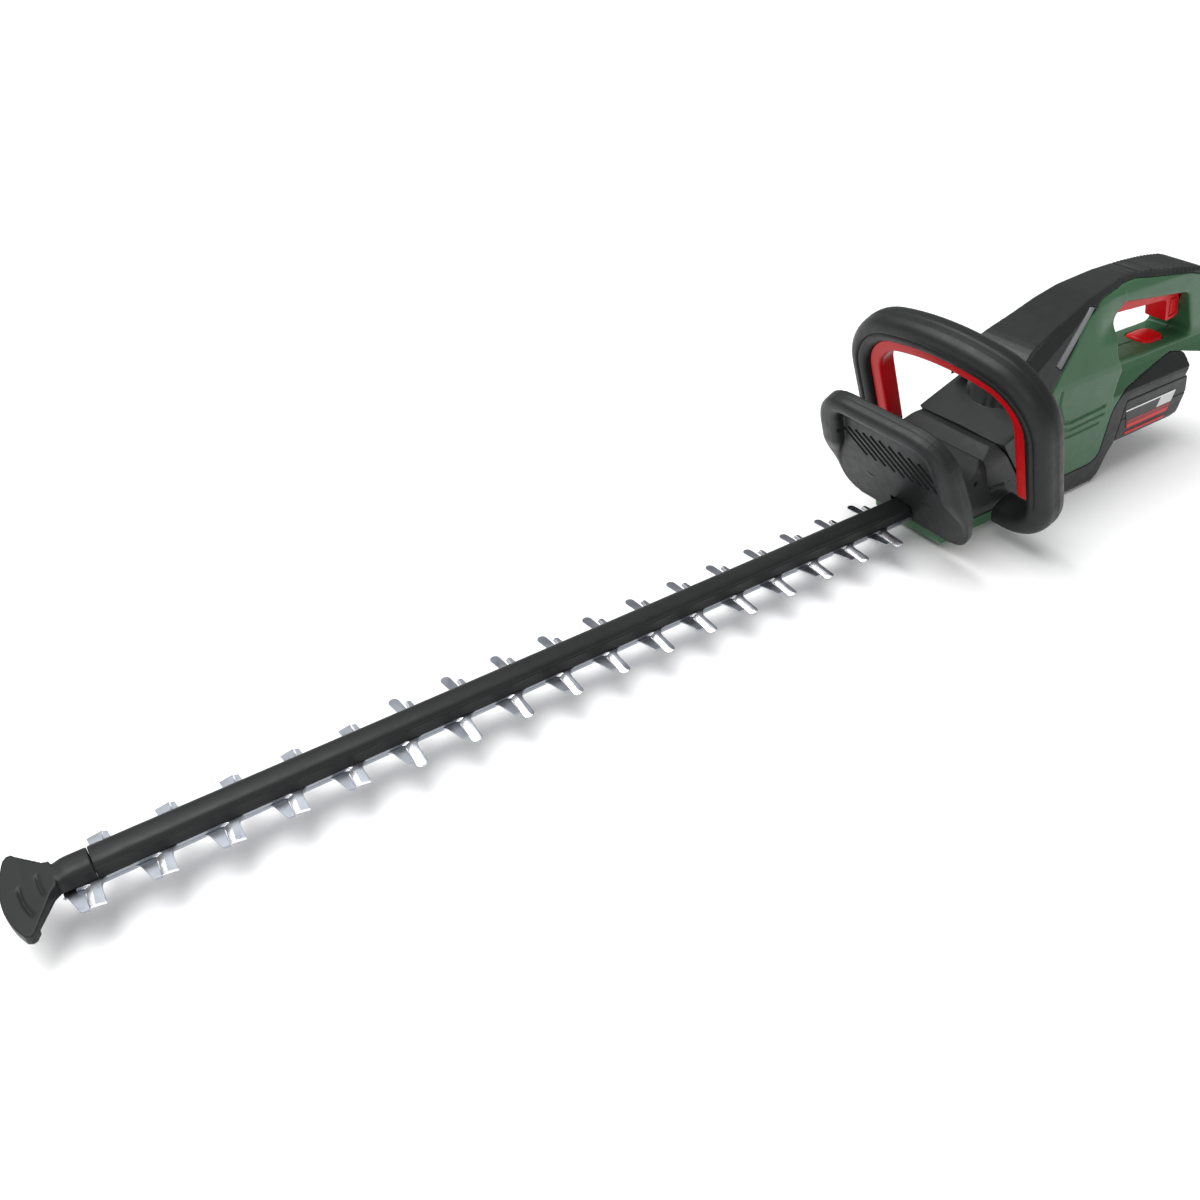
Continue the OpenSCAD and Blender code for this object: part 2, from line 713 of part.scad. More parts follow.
// Side view of the green shells, from the seam back round the rear handle
green_corners = concat([for (p = seam) [p[0], p[1], 0]], [
    [862, 180, 0], [942, 170, 4], [966, 164, 8], [980, 150, 8], [1004, 96, 4], [1001, 88, 3], [975, 93, 6],
    [945, 99, 6], [858, 86, 8], [851, 72, 6], [851, 30, 5], [842, 24, 4]
]);
green_side = rounded(green_corners, 3);

// Hand opening of the rear handle
opening_corners = [
    [836, 128, 8], [838, 158, 8], [850, 164, 4], [950, 151, 6], [979, bridge_z - 1, 9],
    [900, bridge_z, 9], [846, 110, 8]
];
hand_opening = rounded(opening_corners, 3);

// Trigger in side view: a bar under the grip and a leg down the rear post
trigger_side = rounded([
    [842, 150, 2], [850, 163.4, 3], [953, 150.4, 3], [964, 124, 4], [947, 121, 4], [937, 144, 5], [862, 149, 8]
], 3);
trigger_half = 10;
trigger_lift = 4;

// Housing screws: side view position, y of the seat of the head, half length of the boss
screw_spots = [
    [786, 126, 16, 33], [843.5, 60, 20, 36], [839, 95, 20, 36],
    [832, 168, 12, 20], [987, 99, 10, 19], [968, 150, 10, 19]
];
dock_spots = [[788, 12, 16, 36], [836, 12, 16, 36]];

module bosses(spots) {
    for (p = spots) translate([p[0], p[3], p[1]]) rotate([90, 0, 0]) cylinder(r = 4, h = 2 * p[3]);
}

module boss_holes(spots) {
    for (p = spots) translate([p[0], p[2], p[1]]) rotate([90, 0, 0]) {
        cylinder(r = 1.55, h = 2 * p[2]);
        translate([0, 0, -60]) cylinder(r = 3.1, h = 60);
    }
}

// Screws that close the housing halves, driven from the right
module housing_screws() {
    color("#5f6164") place() for (p = concat(screw_spots, dock_spots))
        translate([p[0], p[2], p[1]]) rotate([-90, 0, 0]) screw(1.5, 2 * p[2] - 2, 2.9, 2);
}

module green_solid() {
    intersection() {
        across(-60, 60) shape(green_side);
        union() {
            along(700, 846) shape(front_section);
            along(845.5, 1020) shape(rear_section);
        }
    }
}

module green_cavity() {
    // Handle, rear post and bridge
    across(-grip_half + wall, grip_half - wall) difference() {
        shape(inset(sharp(green_corners), wall));
        shape(inset(sharp(opening_corners), -wall));
    }
    // Wide front
    intersection() {
        across(-60, 60) shape(inset(sharp(green_corners), wall));
        along(700, 832) shape(inset(front_section, wall));
    }
    translate([820, -body_half + wall, 27]) cube([28, 2 * (body_half - wall), 52]);
}

module green_shell() {
    difference() {
        union() {
            difference() {
                green_solid();
                green_cavity();
            }
            bosses(screw_spots);
        }
        across(-60, 60) shape(hand_opening);
        // Room for the trigger and its travel
        across(-trigger_half - 0.5, trigger_half + 0.5) for (z = [0, trigger_lift + 0.6])
            translate([0, z]) shape(inset(trigger_side, -0.6));
        // Mouth for the motor, and openings down into the dock and up to the button
        translate([700, -body_half + wall, 20]) cube([73, 2 * (body_half - wall), 92]);
        translate([motor_x, 0, 100]) cylinder(r = can_r + 0.6, h = step_z + can_h - 99.2);
        translate([876, -16, 84]) cube([84, 32, 19]);
        translate([button_x, 0, 96]) linear_extrude(30) round_rect(button_l + 0.8, 2 * button_half + 0.8, 8);
        boss_holes(screw_spots);
    }
}

module half_space(side) {
    translate([600, side > 0 ? 0.02 : -100, -20]) cube([500, 99.98, 300]);
}

module shell_left() {
    color("#44694a") place() intersection() {
        green_shell();
        half_space(-1);
    }
}

module shell_right() {
    color("#44694a") place() intersection() {
        green_shell();
        half_space(1);
    }
}

// ---------------------------------------------------------------- cover and grip

cover_side = rounded(concat(
    [[744.6, 112, 0], [702, 112, 0], [706, 130, 6], [728, 152, 8]],
    [[761, 164, 8], [800, 177, 8], [846, 183.8, 0]],
    [for (i = [6 : -1 : 2]) [seam[i][0] - 0.25, seam[i][1] + 0.3, 0]]
), 3);

// Slanted vent in each flank of the cover
module vent_bands(slack) {
    intersection() {
        across(-60, 60) shape([
            [750 - slack, 137 - slack], [758 + slack, 134.6 - slack],
            [791 + slack, 168 + slack], [784 - slack, 168 + slack]
        ]);
        difference() {
            along(740, 830) shape(inset(front_section, -slack));
            along(730, 840) shape(inset(front_section, 1.2 + slack));
        }
    }
}

module vent_grilles() {
    color("#7d8082") place() vent_bands(0);
}

module top_cover() {
    color("#303333") place() difference() {
        intersection() {
            across(-60, 60) shape(cover_side);
            along(695, 850) shape(front_section);
        }
        intersection() {
            across(-60, 60) shape([
                [700, 90], [706, 113], [709.4, 128.6], [730, 149.2],
                [762, 160.8], [801, 173.8], [834, 178.6], [900, 100]
            ]);
            along(690, 848) shape(inset(front_section, wall));
        }
        // Clearance over the nose of the motor cowl
        hull() {
            translate([680, -case_half, 80]) cube([66, 2 * case_half, 20]);
            translate([711, -29.6, 110]) cube([34, 59.2, 18.6]);
            translate([711, -3.6, 120]) cube([34, 7.2, 12.6]);
        }
        vent_bands(0.05);
    }
}

// Rubber grip over the top and back of the D handle
grip_side = [
    [846.3, 179.9], [846.3, 183.9], [862, 184.1], [885, 182.8], [930, 177.2], [952, 173.6], [966, 169.8],
    [976, 163.6], [983.5, 154.5], [1004, 108.2], [1008.4, 98], [rear_x, 92.6], [1007, 87.4], [1003.4, 85.4],
    [1001.3, 87.6], [1004.9, 92.4], [1004.6, 97.6], [982, 149.4], [977, 155.2], [972.5, 159.6], [966, 164.4],
    [942, 170.3], [862, 180.3]
];

module grip_rubber() {
    color("#3b3e3f") place() difference() {
        intersection() {
            across(-grip_half, grip_half) shape(grip_side);
            along(840, 1020) shape([
                [-grip_half, 60], [grip_half, 60], [grip_half, 171], [18, 178], [13, 183.2], [9, 184.5],
                [-9, 184.5], [-13, 183.2], [-18, 178], [-grip_half, 171]
            ]);
        }
        across(-60, 60) shape(inset(green_side, -0.05));
        // Ribs over the top
        for (k = [0 : 13]) translate([870 + k * 6, -30, 182.6 - k * 0.68]) rotate([0, 7, 0]) cube([1.2, 60, 6]);
    }
}

// ---------------------------------------------------------------- dock

battery_x0 = 871;
battery_x1 = 971;
battery_z0 = 33;
battery_z1 = 76;
rail_half = 22;
rail_z = 83;

dock_side = rounded([
    [774, 60, 0], [770.4, 23.6, 0], [776, 3, 4], [786, 0, 4], [848, 0, 5], [860, 8, 5], [866, 28, 4],
    [870.5, 35, 2],
    [870.5, battery_z1 + gap, 0], [960, battery_z1 + gap, 0], [965, 92, 3], [960, 104, 0], [860, 104, 0]
], 3);

module dock_shell() {
    difference() {
        intersection() {
            across(-body_half, body_half) shape(dock_side);
            union() {
                along(700, 851) shape([
                    [-body_half, 5], [-body_half + 1.5, 1.5], [-body_half + 5, 0], [body_half - 5, 0],
                    [body_half - 1.5, 1.5], [body_half, 5], [body_half, 130], [-body_half, 130]]);
                along(850.9, 1020) shape(rear_section);
            }
        }
        across(-60, 60) shape(inset(green_side, -gap));
        difference() {
            union() {
                translate([780, -body_half + wall, 3]) cube([66, 2 * (body_half - wall), 17.6]);
                translate([854.5, -body_half + wall, 30]) cube([12.5, 2 * (body_half - wall), 40]);
            }
            bosses(dock_spots);
        }
        // Slot for the battery rail, open to the rear, and space over its roof
        translate([857, -rail_half - 0.6, 73]) cube([140, 2 * rail_half + 1.2, rail_z - 73 + 0.6]);
        translate([876, -16, rail_z + 3.1]) cube([84, 32, 20]);
        boss_holes(dock_spots);
    }
}

module dock_left() {
    color("#1f2121") place() intersection() {
        dock_shell();
        half_space(-1);
    }
}

module dock_right() {
    color("#1f2121") place() intersection() {
        dock_shell();
        half_space(1);
    }
}

// ---------------------------------------------------------------- controls

module trigger() {
    color("#c8201f") place() across(-trigger_half, trigger_half) shape(trigger_side);
}

module trigger_spring() {
    color("silver") place() translate([905, 0, 157]) coil(3.2, 0.5, 5, 14);
}

module trigger_switch() {
    color("#222222") place() {
        translate([872, -3, 166.2]) cube([16, 6, 7]);
        translate([878, -1.5, 165.3]) cube([3, 3, 1]);
    }
}

module lock_button() {
    color("#d0231d") place() {
        translate([button_x, 0, bridge_z - 5]) linear_extrude(7.6)
            round_rect(button_l, 2 * button_half, 7.5);
        translate([button_x, 0, bridge_z - 6.4]) linear_extrude(2.4)
            round_rect(button_l + 3, 2 * button_half + 3, 7.5);
    }
}

button_spring_z = 86.3;

module button_spring() {
    color("silver") place() translate([button_x - 16, 0, button_spring_z]) coil(4.5, 0.6, 5, 14);
}

module controller_board() {
    color("#1f5a34") place() {
        translate([776, -1, 34]) cube([56, 1.6, 80]);
        for (z = [44, 64, 84]) translate([784, 0.5, z]) cube([16, 5, 12]);
        for (z = [46, 62, 78]) translate([818, 0.5, z]) rotate([-90, 0, 0]) cylinder(r = 6, h = 16);
    }
}

module terminal_block() {
    color("#8c8557") place() {
        translate([857.3, -20, 73.4]) cube([12.7, 40, 9.8]);
        for (y = [-14, 0, 14]) translate([869.9, y - 0.5, 77]) cube([13, 1, 3.6]);
    }
}

// ---------------------------------------------------------------- battery

battery_corners = [
    [battery_x0, battery_z0 + 3, 2], [battery_x0 + 7, battery_z0, 3], [958, battery_z0, 4],
    [967, battery_z0 + 5, 4], [battery_x1, 58, 4], [964, battery_z1, 2], [battery_x0, battery_z1, 1]
];
split_z = 58;

module battery_solid() {
    intersection() {
        across(-body_half, body_half) shape(rounded(battery_corners, 3));
        along(860, 980) shape([
            [-body_half, battery_z0 + 6], [-body_half + 2, battery_z0 + 1.6], [-body_half + 6, battery_z0],
            [body_half - 6, battery_z0], [body_half - 2, battery_z0 + 1.6], [body_half, battery_z0 + 6],
            [body_half, 90], [-body_half, 90]]);
    }
}

module battery_hollow() {
    across(-body_half + 2, body_half - 2) shape(inset(sharp(battery_corners), 2));
}

module battery_case() {
    color("#242626") place() intersection() {
        difference() {
            battery_solid();
            battery_hollow();
        }
        translate([800, -50, 0]) cube([200, 100, split_z]);
    }
}

// Lid with the slide rail that hangs the pack in the dock
module battery_lid() {
    color("#2c2e2f") place() difference() {
        union() {
            intersection() {
                battery_solid();
                translate([800, -50, split_z + 0.02]) cube([200, 100, 60]);
            }
            translate([873, -rail_half, battery_z1 - 1]) cube([85, 2 * rail_half, rail_z - battery_z1 + 1]);
        }
        battery_hollow();
        translate([876, -rail_half + 2, battery_z1]) cube([66, 2 * rail_half - 4, rail_z - battery_z1 - 2]);
        // Slots for the contact blades of the machine, and the seat of the release button
        for (y = [-14, 0, 14]) translate([872, y - 1.5, battery_z1]) cube([5, 3, rail_z - battery_z1 - 2]);
        translate([944, -11.4, battery_z1]) cube([20, 22.8, 10]);
    }
}

cell_r = 9;

module battery_cells() {
    cell_pitch = 2 * cell_r + 0.04;
    color("#2a6fa8") place() for (i = [0 : 4], j = [0 : 1])
        translate([battery_x0 + 11.5 + i * cell_pitch, -32.5, battery_z0 + 11.1 + j * cell_pitch])
            rotate([-90, 0, 0]) cylinder(r = cell_r, h = 65);
}

module battery_contacts() {
    color("gold") place() for (y = [-14, 0, 14], s = [-1, 1])
        translate([battery_x0 + 6.4, y + s * 1.3 - 0.4, battery_z1 + 0.2]) cube([6.4, 0.8, 4.6]);
}

module battery_labels() {
    color("#b01c1c") place() for (s = [-1, 1])
        translate([0, s > 0 ? body_half + 0.5 : -body_half, 0]) rotate([90, 0, 0])
            linear_extrude(0.5) shape([[874, 66], [884, 46], [946, 46], [950, 66]]);
}

module battery_trim() {
    color("#c01a1f") place() for (s = [-1, 1])
        translate([884, s > 0 ? body_half : -body_half - 0.5, battery_z0 + 6.5]) cube([60, 0.5, 2.6]);
}

release_lift = 3.8;     // height of the release button over the battery lid

module battery_release() {
    color("#1a1b1b") place() translate([944.4, -11, battery_z1 + release_lift]) cube([17.6, 22, 3.4]);
}

module release_spring() {
    color("silver") place() translate([952, 0, battery_z1 + 0.05]) coil(3, 0.3, 3, release_lift - 0.1);
}

// ---------------------------------------------------------------- drawing

blade_upper();
blade_lower();
guide_bar();
blade_bolts();
blade_nuts();
bar_cover();
tip_guard();
drive_gear();
crank_disc();
gear_shaft();
gear_bearings();
motor_pinion();
motor_shaft();
motor_rotor();
cooling_fan();
motor_stator();
stator_windings();
motor_bearings();
motor_can();
gearbox_base();
gearbox_case();
bearing_plate();
motor_cowl();
hand_guard();
guard_screws();
loop_front_shell();
loop_rear_shell();
loop_switch_bar();
loop_springs();
loop_switches();
top_cover();
vent_grilles();
shell_left();
shell_right();
grip_rubber();
dock_left();
dock_right();
trigger();
trigger_spring();
trigger_switch();
lock_button();
button_spring();
controller_board();
terminal_block();
housing_screws();
battery_case();
battery_lid();
battery_cells();
battery_contacts();
battery_labels();
battery_trim();
battery_release();
release_spring();
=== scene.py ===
import json
import math

import bmesh
import bpy
import numpy as np
from mathutils import Matrix, Vector


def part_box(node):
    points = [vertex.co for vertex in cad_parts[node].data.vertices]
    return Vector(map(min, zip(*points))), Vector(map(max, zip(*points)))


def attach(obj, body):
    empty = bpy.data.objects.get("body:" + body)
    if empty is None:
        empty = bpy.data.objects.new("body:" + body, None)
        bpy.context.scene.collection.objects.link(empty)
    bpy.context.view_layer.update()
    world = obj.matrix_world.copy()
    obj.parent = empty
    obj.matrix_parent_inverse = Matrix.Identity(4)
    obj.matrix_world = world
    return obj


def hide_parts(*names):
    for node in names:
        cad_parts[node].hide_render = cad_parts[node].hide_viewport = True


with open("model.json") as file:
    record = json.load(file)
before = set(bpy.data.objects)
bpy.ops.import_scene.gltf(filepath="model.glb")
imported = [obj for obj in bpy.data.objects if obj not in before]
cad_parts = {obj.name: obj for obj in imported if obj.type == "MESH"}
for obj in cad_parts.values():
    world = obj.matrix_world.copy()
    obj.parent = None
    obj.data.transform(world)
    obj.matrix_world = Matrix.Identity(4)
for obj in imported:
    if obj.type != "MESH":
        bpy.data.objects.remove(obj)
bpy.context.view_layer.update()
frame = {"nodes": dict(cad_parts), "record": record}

# Shapes are drawn in millimetres in the machine's own axes: x runs from the first tooth to the rear
# handle, y across, z up from the floor. TO_ROW turns them into the frame's metres.
GUIDE_BAR_X0 = -8
MID_X = GUIDE_BAR_X0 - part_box("guide_bar")[0].x * 1000
TO_ROW = Matrix.Scale(0.001, 4) @ Matrix.Translation((-MID_X, 0, 0))
FROM_ROW = TO_ROW.inverted()

BLADE_Z = 24            # plane between the two blades
PITCH = 38
TEETH = 17
SAW_TEETH = 5           # square-ended teeth at the outer end
SPINE = 9.8
BAR_Z = 26.45
COVER_TOP = 37.5
CRANK_X = 705
MOTOR_X = 742.5
MOTOR_ROOM_R = 25.1
COWL_ROOM_R = 28.6
BODY = 38               # half width of the housing
LOOP_HALF = 86
CORNER_R = 50
CROWN_R = 214
LOOP_TOP = 162
FOOT_R = 33
FOOT_V = 3.5
TUBE_HALF_W = 11.5      # loop tube, from its middle line outward
TUBE_HALF_N = 14        # and to its front and its back
GROOVE_W = -0.3         # groove in the front of the loop, outward from the tube's middle
BUTTON_X = 938
BUTTON_HALF_X = 15
BUTTON_HALF_Y = 12.5


def tilted(x, z, lean):
    """Frame with its origin at (x, z) and leaning towards the tip: local x is its rearward normal."""
    c, s = math.cos(math.radians(lean)), math.sin(math.radians(lean))
    return Matrix(((c, 0, -s, x), (0, 1, 0, 0), (s, 0, c, z), (0, 0, 0, 1)))


LOOP = tilted(714, BLADE_Z, 23)
GUARD = tilted(647, 27, 25)


# ---------------------------------------------------------------- outlines and solids

def rounded(corners, steps=5):
    """Outline whose corners (a, b, setback) are cut to smooth curves."""
    out = []
    for i, (a, b, setback) in enumerate(corners):
        p = Vector((a, b))
        if setback == 0:
            out.append((a, b))
            continue
        before = Vector(corners[i - 1][:2]) - p
        after = Vector(corners[(i + 1) % len(corners)][:2]) - p
        s, e = p + before.normalized() * setback, p + after.normalized() * setback
        for k in range(steps + 1):
            t = k / steps
            q = (1 - t) ** 2 * s + 2 * t * (1 - t) * p + t * t * e
            out.append((q.x, q.y))
    return out


def fuller(value, power):
    """A sine or cosine raised to a power below 1 with its sign kept, which squares a circle off."""
    return math.copysign(abs(value) ** power, value)


def prism(outline, lo, hi, axis):
    """Outline (x, z), (y, z) or (x, y) extruded along axis "y", "x" or "z"."""
    place = {"x": lambda a, b, t: (t, a, b),
             "y": lambda a, b, t: (a, t, b),
             "z": lambda a, b, t: (a, b, t)}[axis]
    return loft([[place(a, b, t) for a, b in outline] for t in (lo, hi)])


def loft(rings, closed=False):
    """Skin over rings of equally many points, with flat ends unless it closes on itself."""
    bm = bmesh.new()
    made = [[bm.verts.new(p) for p in ring] for ring in rings]
    size = len(rings[0])
    pairs = list(zip(made, made[1:])) + ([(made[-1], made[0])] if closed else [])
    for one, two in pairs:
        for i in range(size):
            j = (i + 1) % size
            bm.faces.new((one[i], one[j], two[j], two[i]))
    if not closed:
        bm.faces.new(made[0])
        bm.faces.new(made[-1])
    bmesh.ops.recalc_face_normals(bm, faces=bm.faces)
    return bm


def cylinder(x, y, z, r, length, axis):
    """Round bar from (x, y, z) along axis."""
    turn = [2 * math.pi * k / 24 for k in range(24)]
    turn = [(r * math.cos(a), r * math.sin(a)) for a in turn]
    if axis == "x":
        return prism([(y + a, z + b) for a, b in turn], x, x + length, "x")
    if axis == "y":
        return prism([(x + a, z + b) for a, b in turn], y, y + length, "y")
    return prism([(x + a, y + b) for a, b in turn], z, z + length, "z")


def box(x0, x1, y0, y1, z0, z1):
    return prism([(x0, z0), (x1, z0), (x1, z1), (x0, z1)], y0, y1, "y")


def hull(points):
    """Convex solid around the points."""
    bm = bmesh.new()
    for p in points:
        bm.verts.new(p)
    bmesh.ops.convex_hull(bm, input=bm.verts)
    bmesh.ops.dissolve_limit(bm, angle_limit=0.02, verts=bm.verts, edges=bm.edges)
    return bm


def temporary(bm):
    """Object that holds the mesh while modifiers work on it."""
    mesh = bpy.data.meshes.new("temporary")
    bm.to_mesh(mesh)
    bm.free()
    obj = bpy.data.objects.new("temporary", mesh)
    bpy.context.scene.collection.objects.link(obj)
    return obj


def settled(obj, *others):
    """The object's mesh with its modifiers applied; the objects that it used are removed."""
    bpy.context.view_layer.update()
    mesh = bpy.data.meshes.new_from_object(obj.evaluated_get(bpy.context.evaluated_depsgraph_get()))
    for o in (obj, *others):
        bpy.data.objects.remove(o)
    bm = bmesh.new()
    bm.from_mesh(mesh)
    bpy.data.meshes.remove(mesh)
    return bm


def combined(base, others, operation="DIFFERENCE"):
    """base with each of the other solids cut away, or cut down to what it shares with them."""
    objects = [temporary(b) for b in (base, *others)]
    for other in objects[1:]:
        m = objects[0].modifiers.new("solid", "BOOLEAN")
        m.operation, m.solver, m.object = operation, "EXACT", other
    return settled(*objects)


def skinned(bm, voxel, rounds, keep=1.0, softer=None, extra=0):
    """One moulded skin over the solids in bm, with its edges eased. softer(points) gives the share
    of the extra easing that each point takes."""
    obj = temporary(bm)
    m = obj.modifiers.new("skin", "REMESH")
    m.mode, m.voxel_size = "VOXEL", voxel
    if softer:
        bm = settled(obj)
        share = softer(np.array([v.co for v in bm.verts]))
        obj = temporary(bm)
        group = obj.vertex_groups.new(name="softer")
        for step in range(1, 5):
            near = np.nonzero(np.round(share * 4) == step)[0]
            group.add([int(i) for i in near], step / 4, "REPLACE")
        m = obj.modifiers.new("extra", "SMOOTH")
        m.factor, m.iterations, m.vertex_group = 0.5, extra, "softer"
    m = obj.modifiers.new("ease", "SMOOTH")
    m.factor, m.iterations = 0.5, rounds
    if keep < 1:
        m = obj.modifiers.new("thin", "DECIMATE")
        m.ratio = keep
    return settled(obj)


def bevelled(bm, width, segments=3, angle=28):
    """Solid with its edges rounded where its faces meet at more than angle."""
    obj = temporary(bm)
    m = obj.modifiers.new("edge", "BEVEL")
    m.width, m.segments, m.limit_method = width, segments, "ANGLE"
    m.angle_limit = math.radians(angle)
    m.harden_normals = True
    return settled(obj)


def copied(node):
    """A CAD node's own shape in millimetres, as a closed mesh."""
    bm = bmesh.new()
    bm.from_mesh(frame["nodes"][node].data)
    bm.transform(FROM_ROW)
    bmesh.ops.remove_doubles(bm, verts=bm.verts, dist=0.001)
    return bm


def joined(*parts):
    """The parts as loose shells of one mesh."""
    whole = bmesh.new()
    for part in parts:
        mesh = bpy.data.meshes.new("part")
        part.to_mesh(mesh)
        part.free()
        whole.from_mesh(mesh)
        bpy.data.meshes.remove(mesh)
    return whole


def moved(bm, change):
    """bm with every vertex sent through change(points, normals), both as arrays."""
    bm.normal_update()
    points = np.array([v.co for v in bm.verts])
    normals = np.array([v.normal for v in bm.verts])
    for v, p in zip(bm.verts, change(points, normals)):
        v.co = p
    return bm


def from_line(points, line):
    """Distance of each 2D point from a polyline."""
    best = np.full(len(points), 1e9)
    for a, b in zip(line, line[1:]):
        a, b = np.array(a, float), np.array(b, float)
        length = np.linalg.norm(b - a)
        t = np.clip((points - a) @ (b - a) / length ** 2, 0, 1)
        best = np.minimum(best, np.linalg.norm(points - a - t[:, None] * (b - a), axis=1))
    return best


def piece(name, bm, material, body, slot, *nodes):
    """Object from a mesh in millimetres, riding on its body in place of its CAD nodes."""
    bm.transform(TO_ROW)
    mesh = bpy.data.meshes.new(name)
    bm.to_mesh(mesh)
    bm.free()
    mesh.polygons.foreach_set("use_smooth", [True] * len(mesh.polygons))
    obj = bpy.data.objects.new(name, mesh)
    bpy.context.scene.collection.objects.link(obj)
    for m in material if isinstance(material, tuple) else (material,):
        mesh.materials.append(m)
    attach(obj, body)
    if nodes:
        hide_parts(*nodes)
    return obj


def crisp(obj, angle=30):
    """Shades faces flat across edges sharper than angle."""
    obj.data.set_sharp_from_angle(angle=math.radians(angle))
    return obj


def weighted(obj):
    """Shades flat faces flat and leaves the curve to the bevels."""
    m = obj.modifiers.new("shading", "WEIGHTED_NORMAL")
    m.keep_sharp = True
    return obj


# ---------------------------------------------------------------- materials

EDGE_MM = 0.5           # radius that every edge is shaded with


def surface(name, colour, roughness, metallic=0.0, grain=0.5, relief=0.02, mottle=0.10, spread=0.07,
            worn=None, wear=0.35, brush=None, coat=0.0):
    """Procedural finish. Lengths are in millimetres: grain is the size of its texture and relief that
    texture's height; brush stretches it along an axis; worn is the colour that rubbed edges take."""
    mat = bpy.data.materials.new(name)
    mat.use_nodes = True
    tree = mat.node_tree
    bsdf = tree.nodes["Principled BSDF"]
    bsdf.inputs["Metallic"].default_value = metallic
    bsdf.inputs["Coat Weight"].default_value = coat
    bsdf.inputs["Coat Roughness"].default_value = 0.25
    bsdf.inputs["Specular IOR Level"].default_value = 0.5 if metallic else 0.24

    def add(kind, **sockets):
        node = tree.nodes.new(kind)
        for key, value in sockets.items():
            numbered = key[0] == "i" and key[1:].isdigit()
            socket = node.inputs[int(key[1:]) if numbered else key.replace("_", " ")]
            if isinstance(value, bpy.types.NodeSocket):
                tree.links.new(value, socket)
            else:
                socket.default_value = value
        return node

    coords = add("ShaderNodeTexCoord").outputs["Object"]
    mm = add("ShaderNodeMapping", Vector=coords, Scale=(1000, 1000, 1000)).outputs["Vector"]
    stretch = brush or (1, 1, 1)
    fine_at = add("ShaderNodeMapping", Vector=mm, Scale=tuple(1 / s for s in stretch)).outputs["Vector"]

    def noise(at, size, detail):
        node = add("ShaderNodeTexNoise", Vector=at, Scale=1 / size, Detail=detail, Roughness=0.6)
        return node.outputs["Fac"]

    def mapped(value, lo, hi, to_lo, to_hi):
        node = add("ShaderNodeMapRange", Value=value, From_Min=lo, From_Max=hi, To_Min=to_lo, To_Max=to_hi)
        return node.outputs["Result"]

    def mixed(factor, one, two):
        node = tree.nodes.new("ShaderNodeMix")
        node.data_type = "RGBA"
        for socket, value in ((node.inputs[0], factor), (node.inputs[6], one), (node.inputs[7], two)):
            if isinstance(value, bpy.types.NodeSocket):
                tree.links.new(value, socket)
            else:
                socket.default_value = value
        return node.outputs[2]

    slow = noise(mm, 42, 3)
    patch = noise(mm, 9, 5)
    fine = noise(fine_at, grain, 3)
    dark = tuple(c * (1 - mottle) for c in colour) + (1,)
    light = tuple(min(1, c * (1 + mottle)) for c in colour) + (1,)
    base = mixed(mapped(slow, 0.35, 0.65, 0, 1), dark, light)
    speck = tuple(c * (1 - mottle * 0.8) for c in colour) + (1,)
    base = mixed(mapped(fine, 0.45, 0.75, 0, 0.5), base, speck)

    soft = add("ShaderNodeBevel", Radius=EDGE_MM * 0.001)
    soft.samples = 4
    flat = add("ShaderNodeNewGeometry").outputs["Normal"]
    dot = tree.nodes.new("ShaderNodeVectorMath")
    dot.operation = "DOT_PRODUCT"
    tree.links.new(soft.outputs["Normal"], dot.inputs[0])
    tree.links.new(flat, dot.inputs[1])
    rim = mapped(dot.outputs["Value"], 0.995, 0.85, 0, 1)
    rub = add("ShaderNodeMath", i0=rim, i1=mapped(patch, 0.42, 0.62, 0, wear))
    rub.operation = "MULTIPLY"
    worn = worn or tuple(min(1, c * 1.8 + 0.03) for c in colour)
    base = mixed(rub.outputs["Value"], base, tuple(worn) + (1,))
    tree.links.new(base, bsdf.inputs["Base Color"])

    rough = mapped(patch, 0.3, 0.7, roughness - spread, roughness + spread)
    tree.links.new(rough, bsdf.inputs["Roughness"])
    bump = add("ShaderNodeBump", Height=fine, Distance=relief * 0.001, Strength=1.0,
               Normal=soft.outputs["Normal"])
    tree.links.new(bump.outputs["Normal"], bsdf.inputs["Normal"])
    return mat


black_plastic = surface("black_plastic", (0.0125, 0.0138, 0.0138), 0.42, grain=0.5, relief=0.03)
tube_plastic = surface("tube_plastic", (0.0105, 0.0112, 0.0112), 0.43, grain=0.4, relief=0.03)
cover_plastic = surface("cover_plastic", (0.014, 0.0155, 0.0155), 0.38, grain=0.6, relief=0.025)
dark_grey_plastic = surface("dark_grey_plastic", (0.022, 0.025, 0.0245), 0.42, grain=0.7, relief=0.04)
green_plastic = surface("green_plastic", (0.036, 0.108, 0.050), 0.34, grain=0.6, relief=0.02, mottle=0.06,
                        worn=(0.09, 0.20, 0.11))
red_plastic = surface("red_plastic", (0.56, 0.004, 0.008), 0.34, grain=0.8, relief=0.012, mottle=0.05,
                      worn=(0.66, 0.05, 0.05))
rubber = surface("grip_rubber", (0.017, 0.018, 0.018), 0.58, grain=0.35, relief=0.05, mottle=0.16)
blade_steel = surface("blade_steel", (0.30, 0.32, 0.355), 0.36, metallic=1.0, grain=0.25, relief=0.012,
                      brush=(1, 26, 1), mottle=0.07, spread=0.10, worn=(0.60, 0.62, 0.66), wear=0.8)
# Ground edges: bare ground steel, with the highlight that the bevels catch facing the light painted into its
# near-white colour.
ground_steel_with_highlight = surface("ground_steel_with_highlight", (0.78, 0.80, 0.83), 0.25, metallic=1.0, grain=0.2, relief=0.01,
                       brush=(18, 1, 1), mottle=0.03, worn=(0.95, 0.95, 0.96))
bar_steel = surface("bar_steel", (0.50, 0.51, 0.53), 0.36, metallic=1.0, grain=0.3, relief=0.012,
                    brush=(30, 1, 1), worn=(0.75, 0.76, 0.78))
black_oxide = surface("black_oxide", (0.03, 0.031, 0.032), 0.38, metallic=0.8, grain=0.3, relief=0.01)
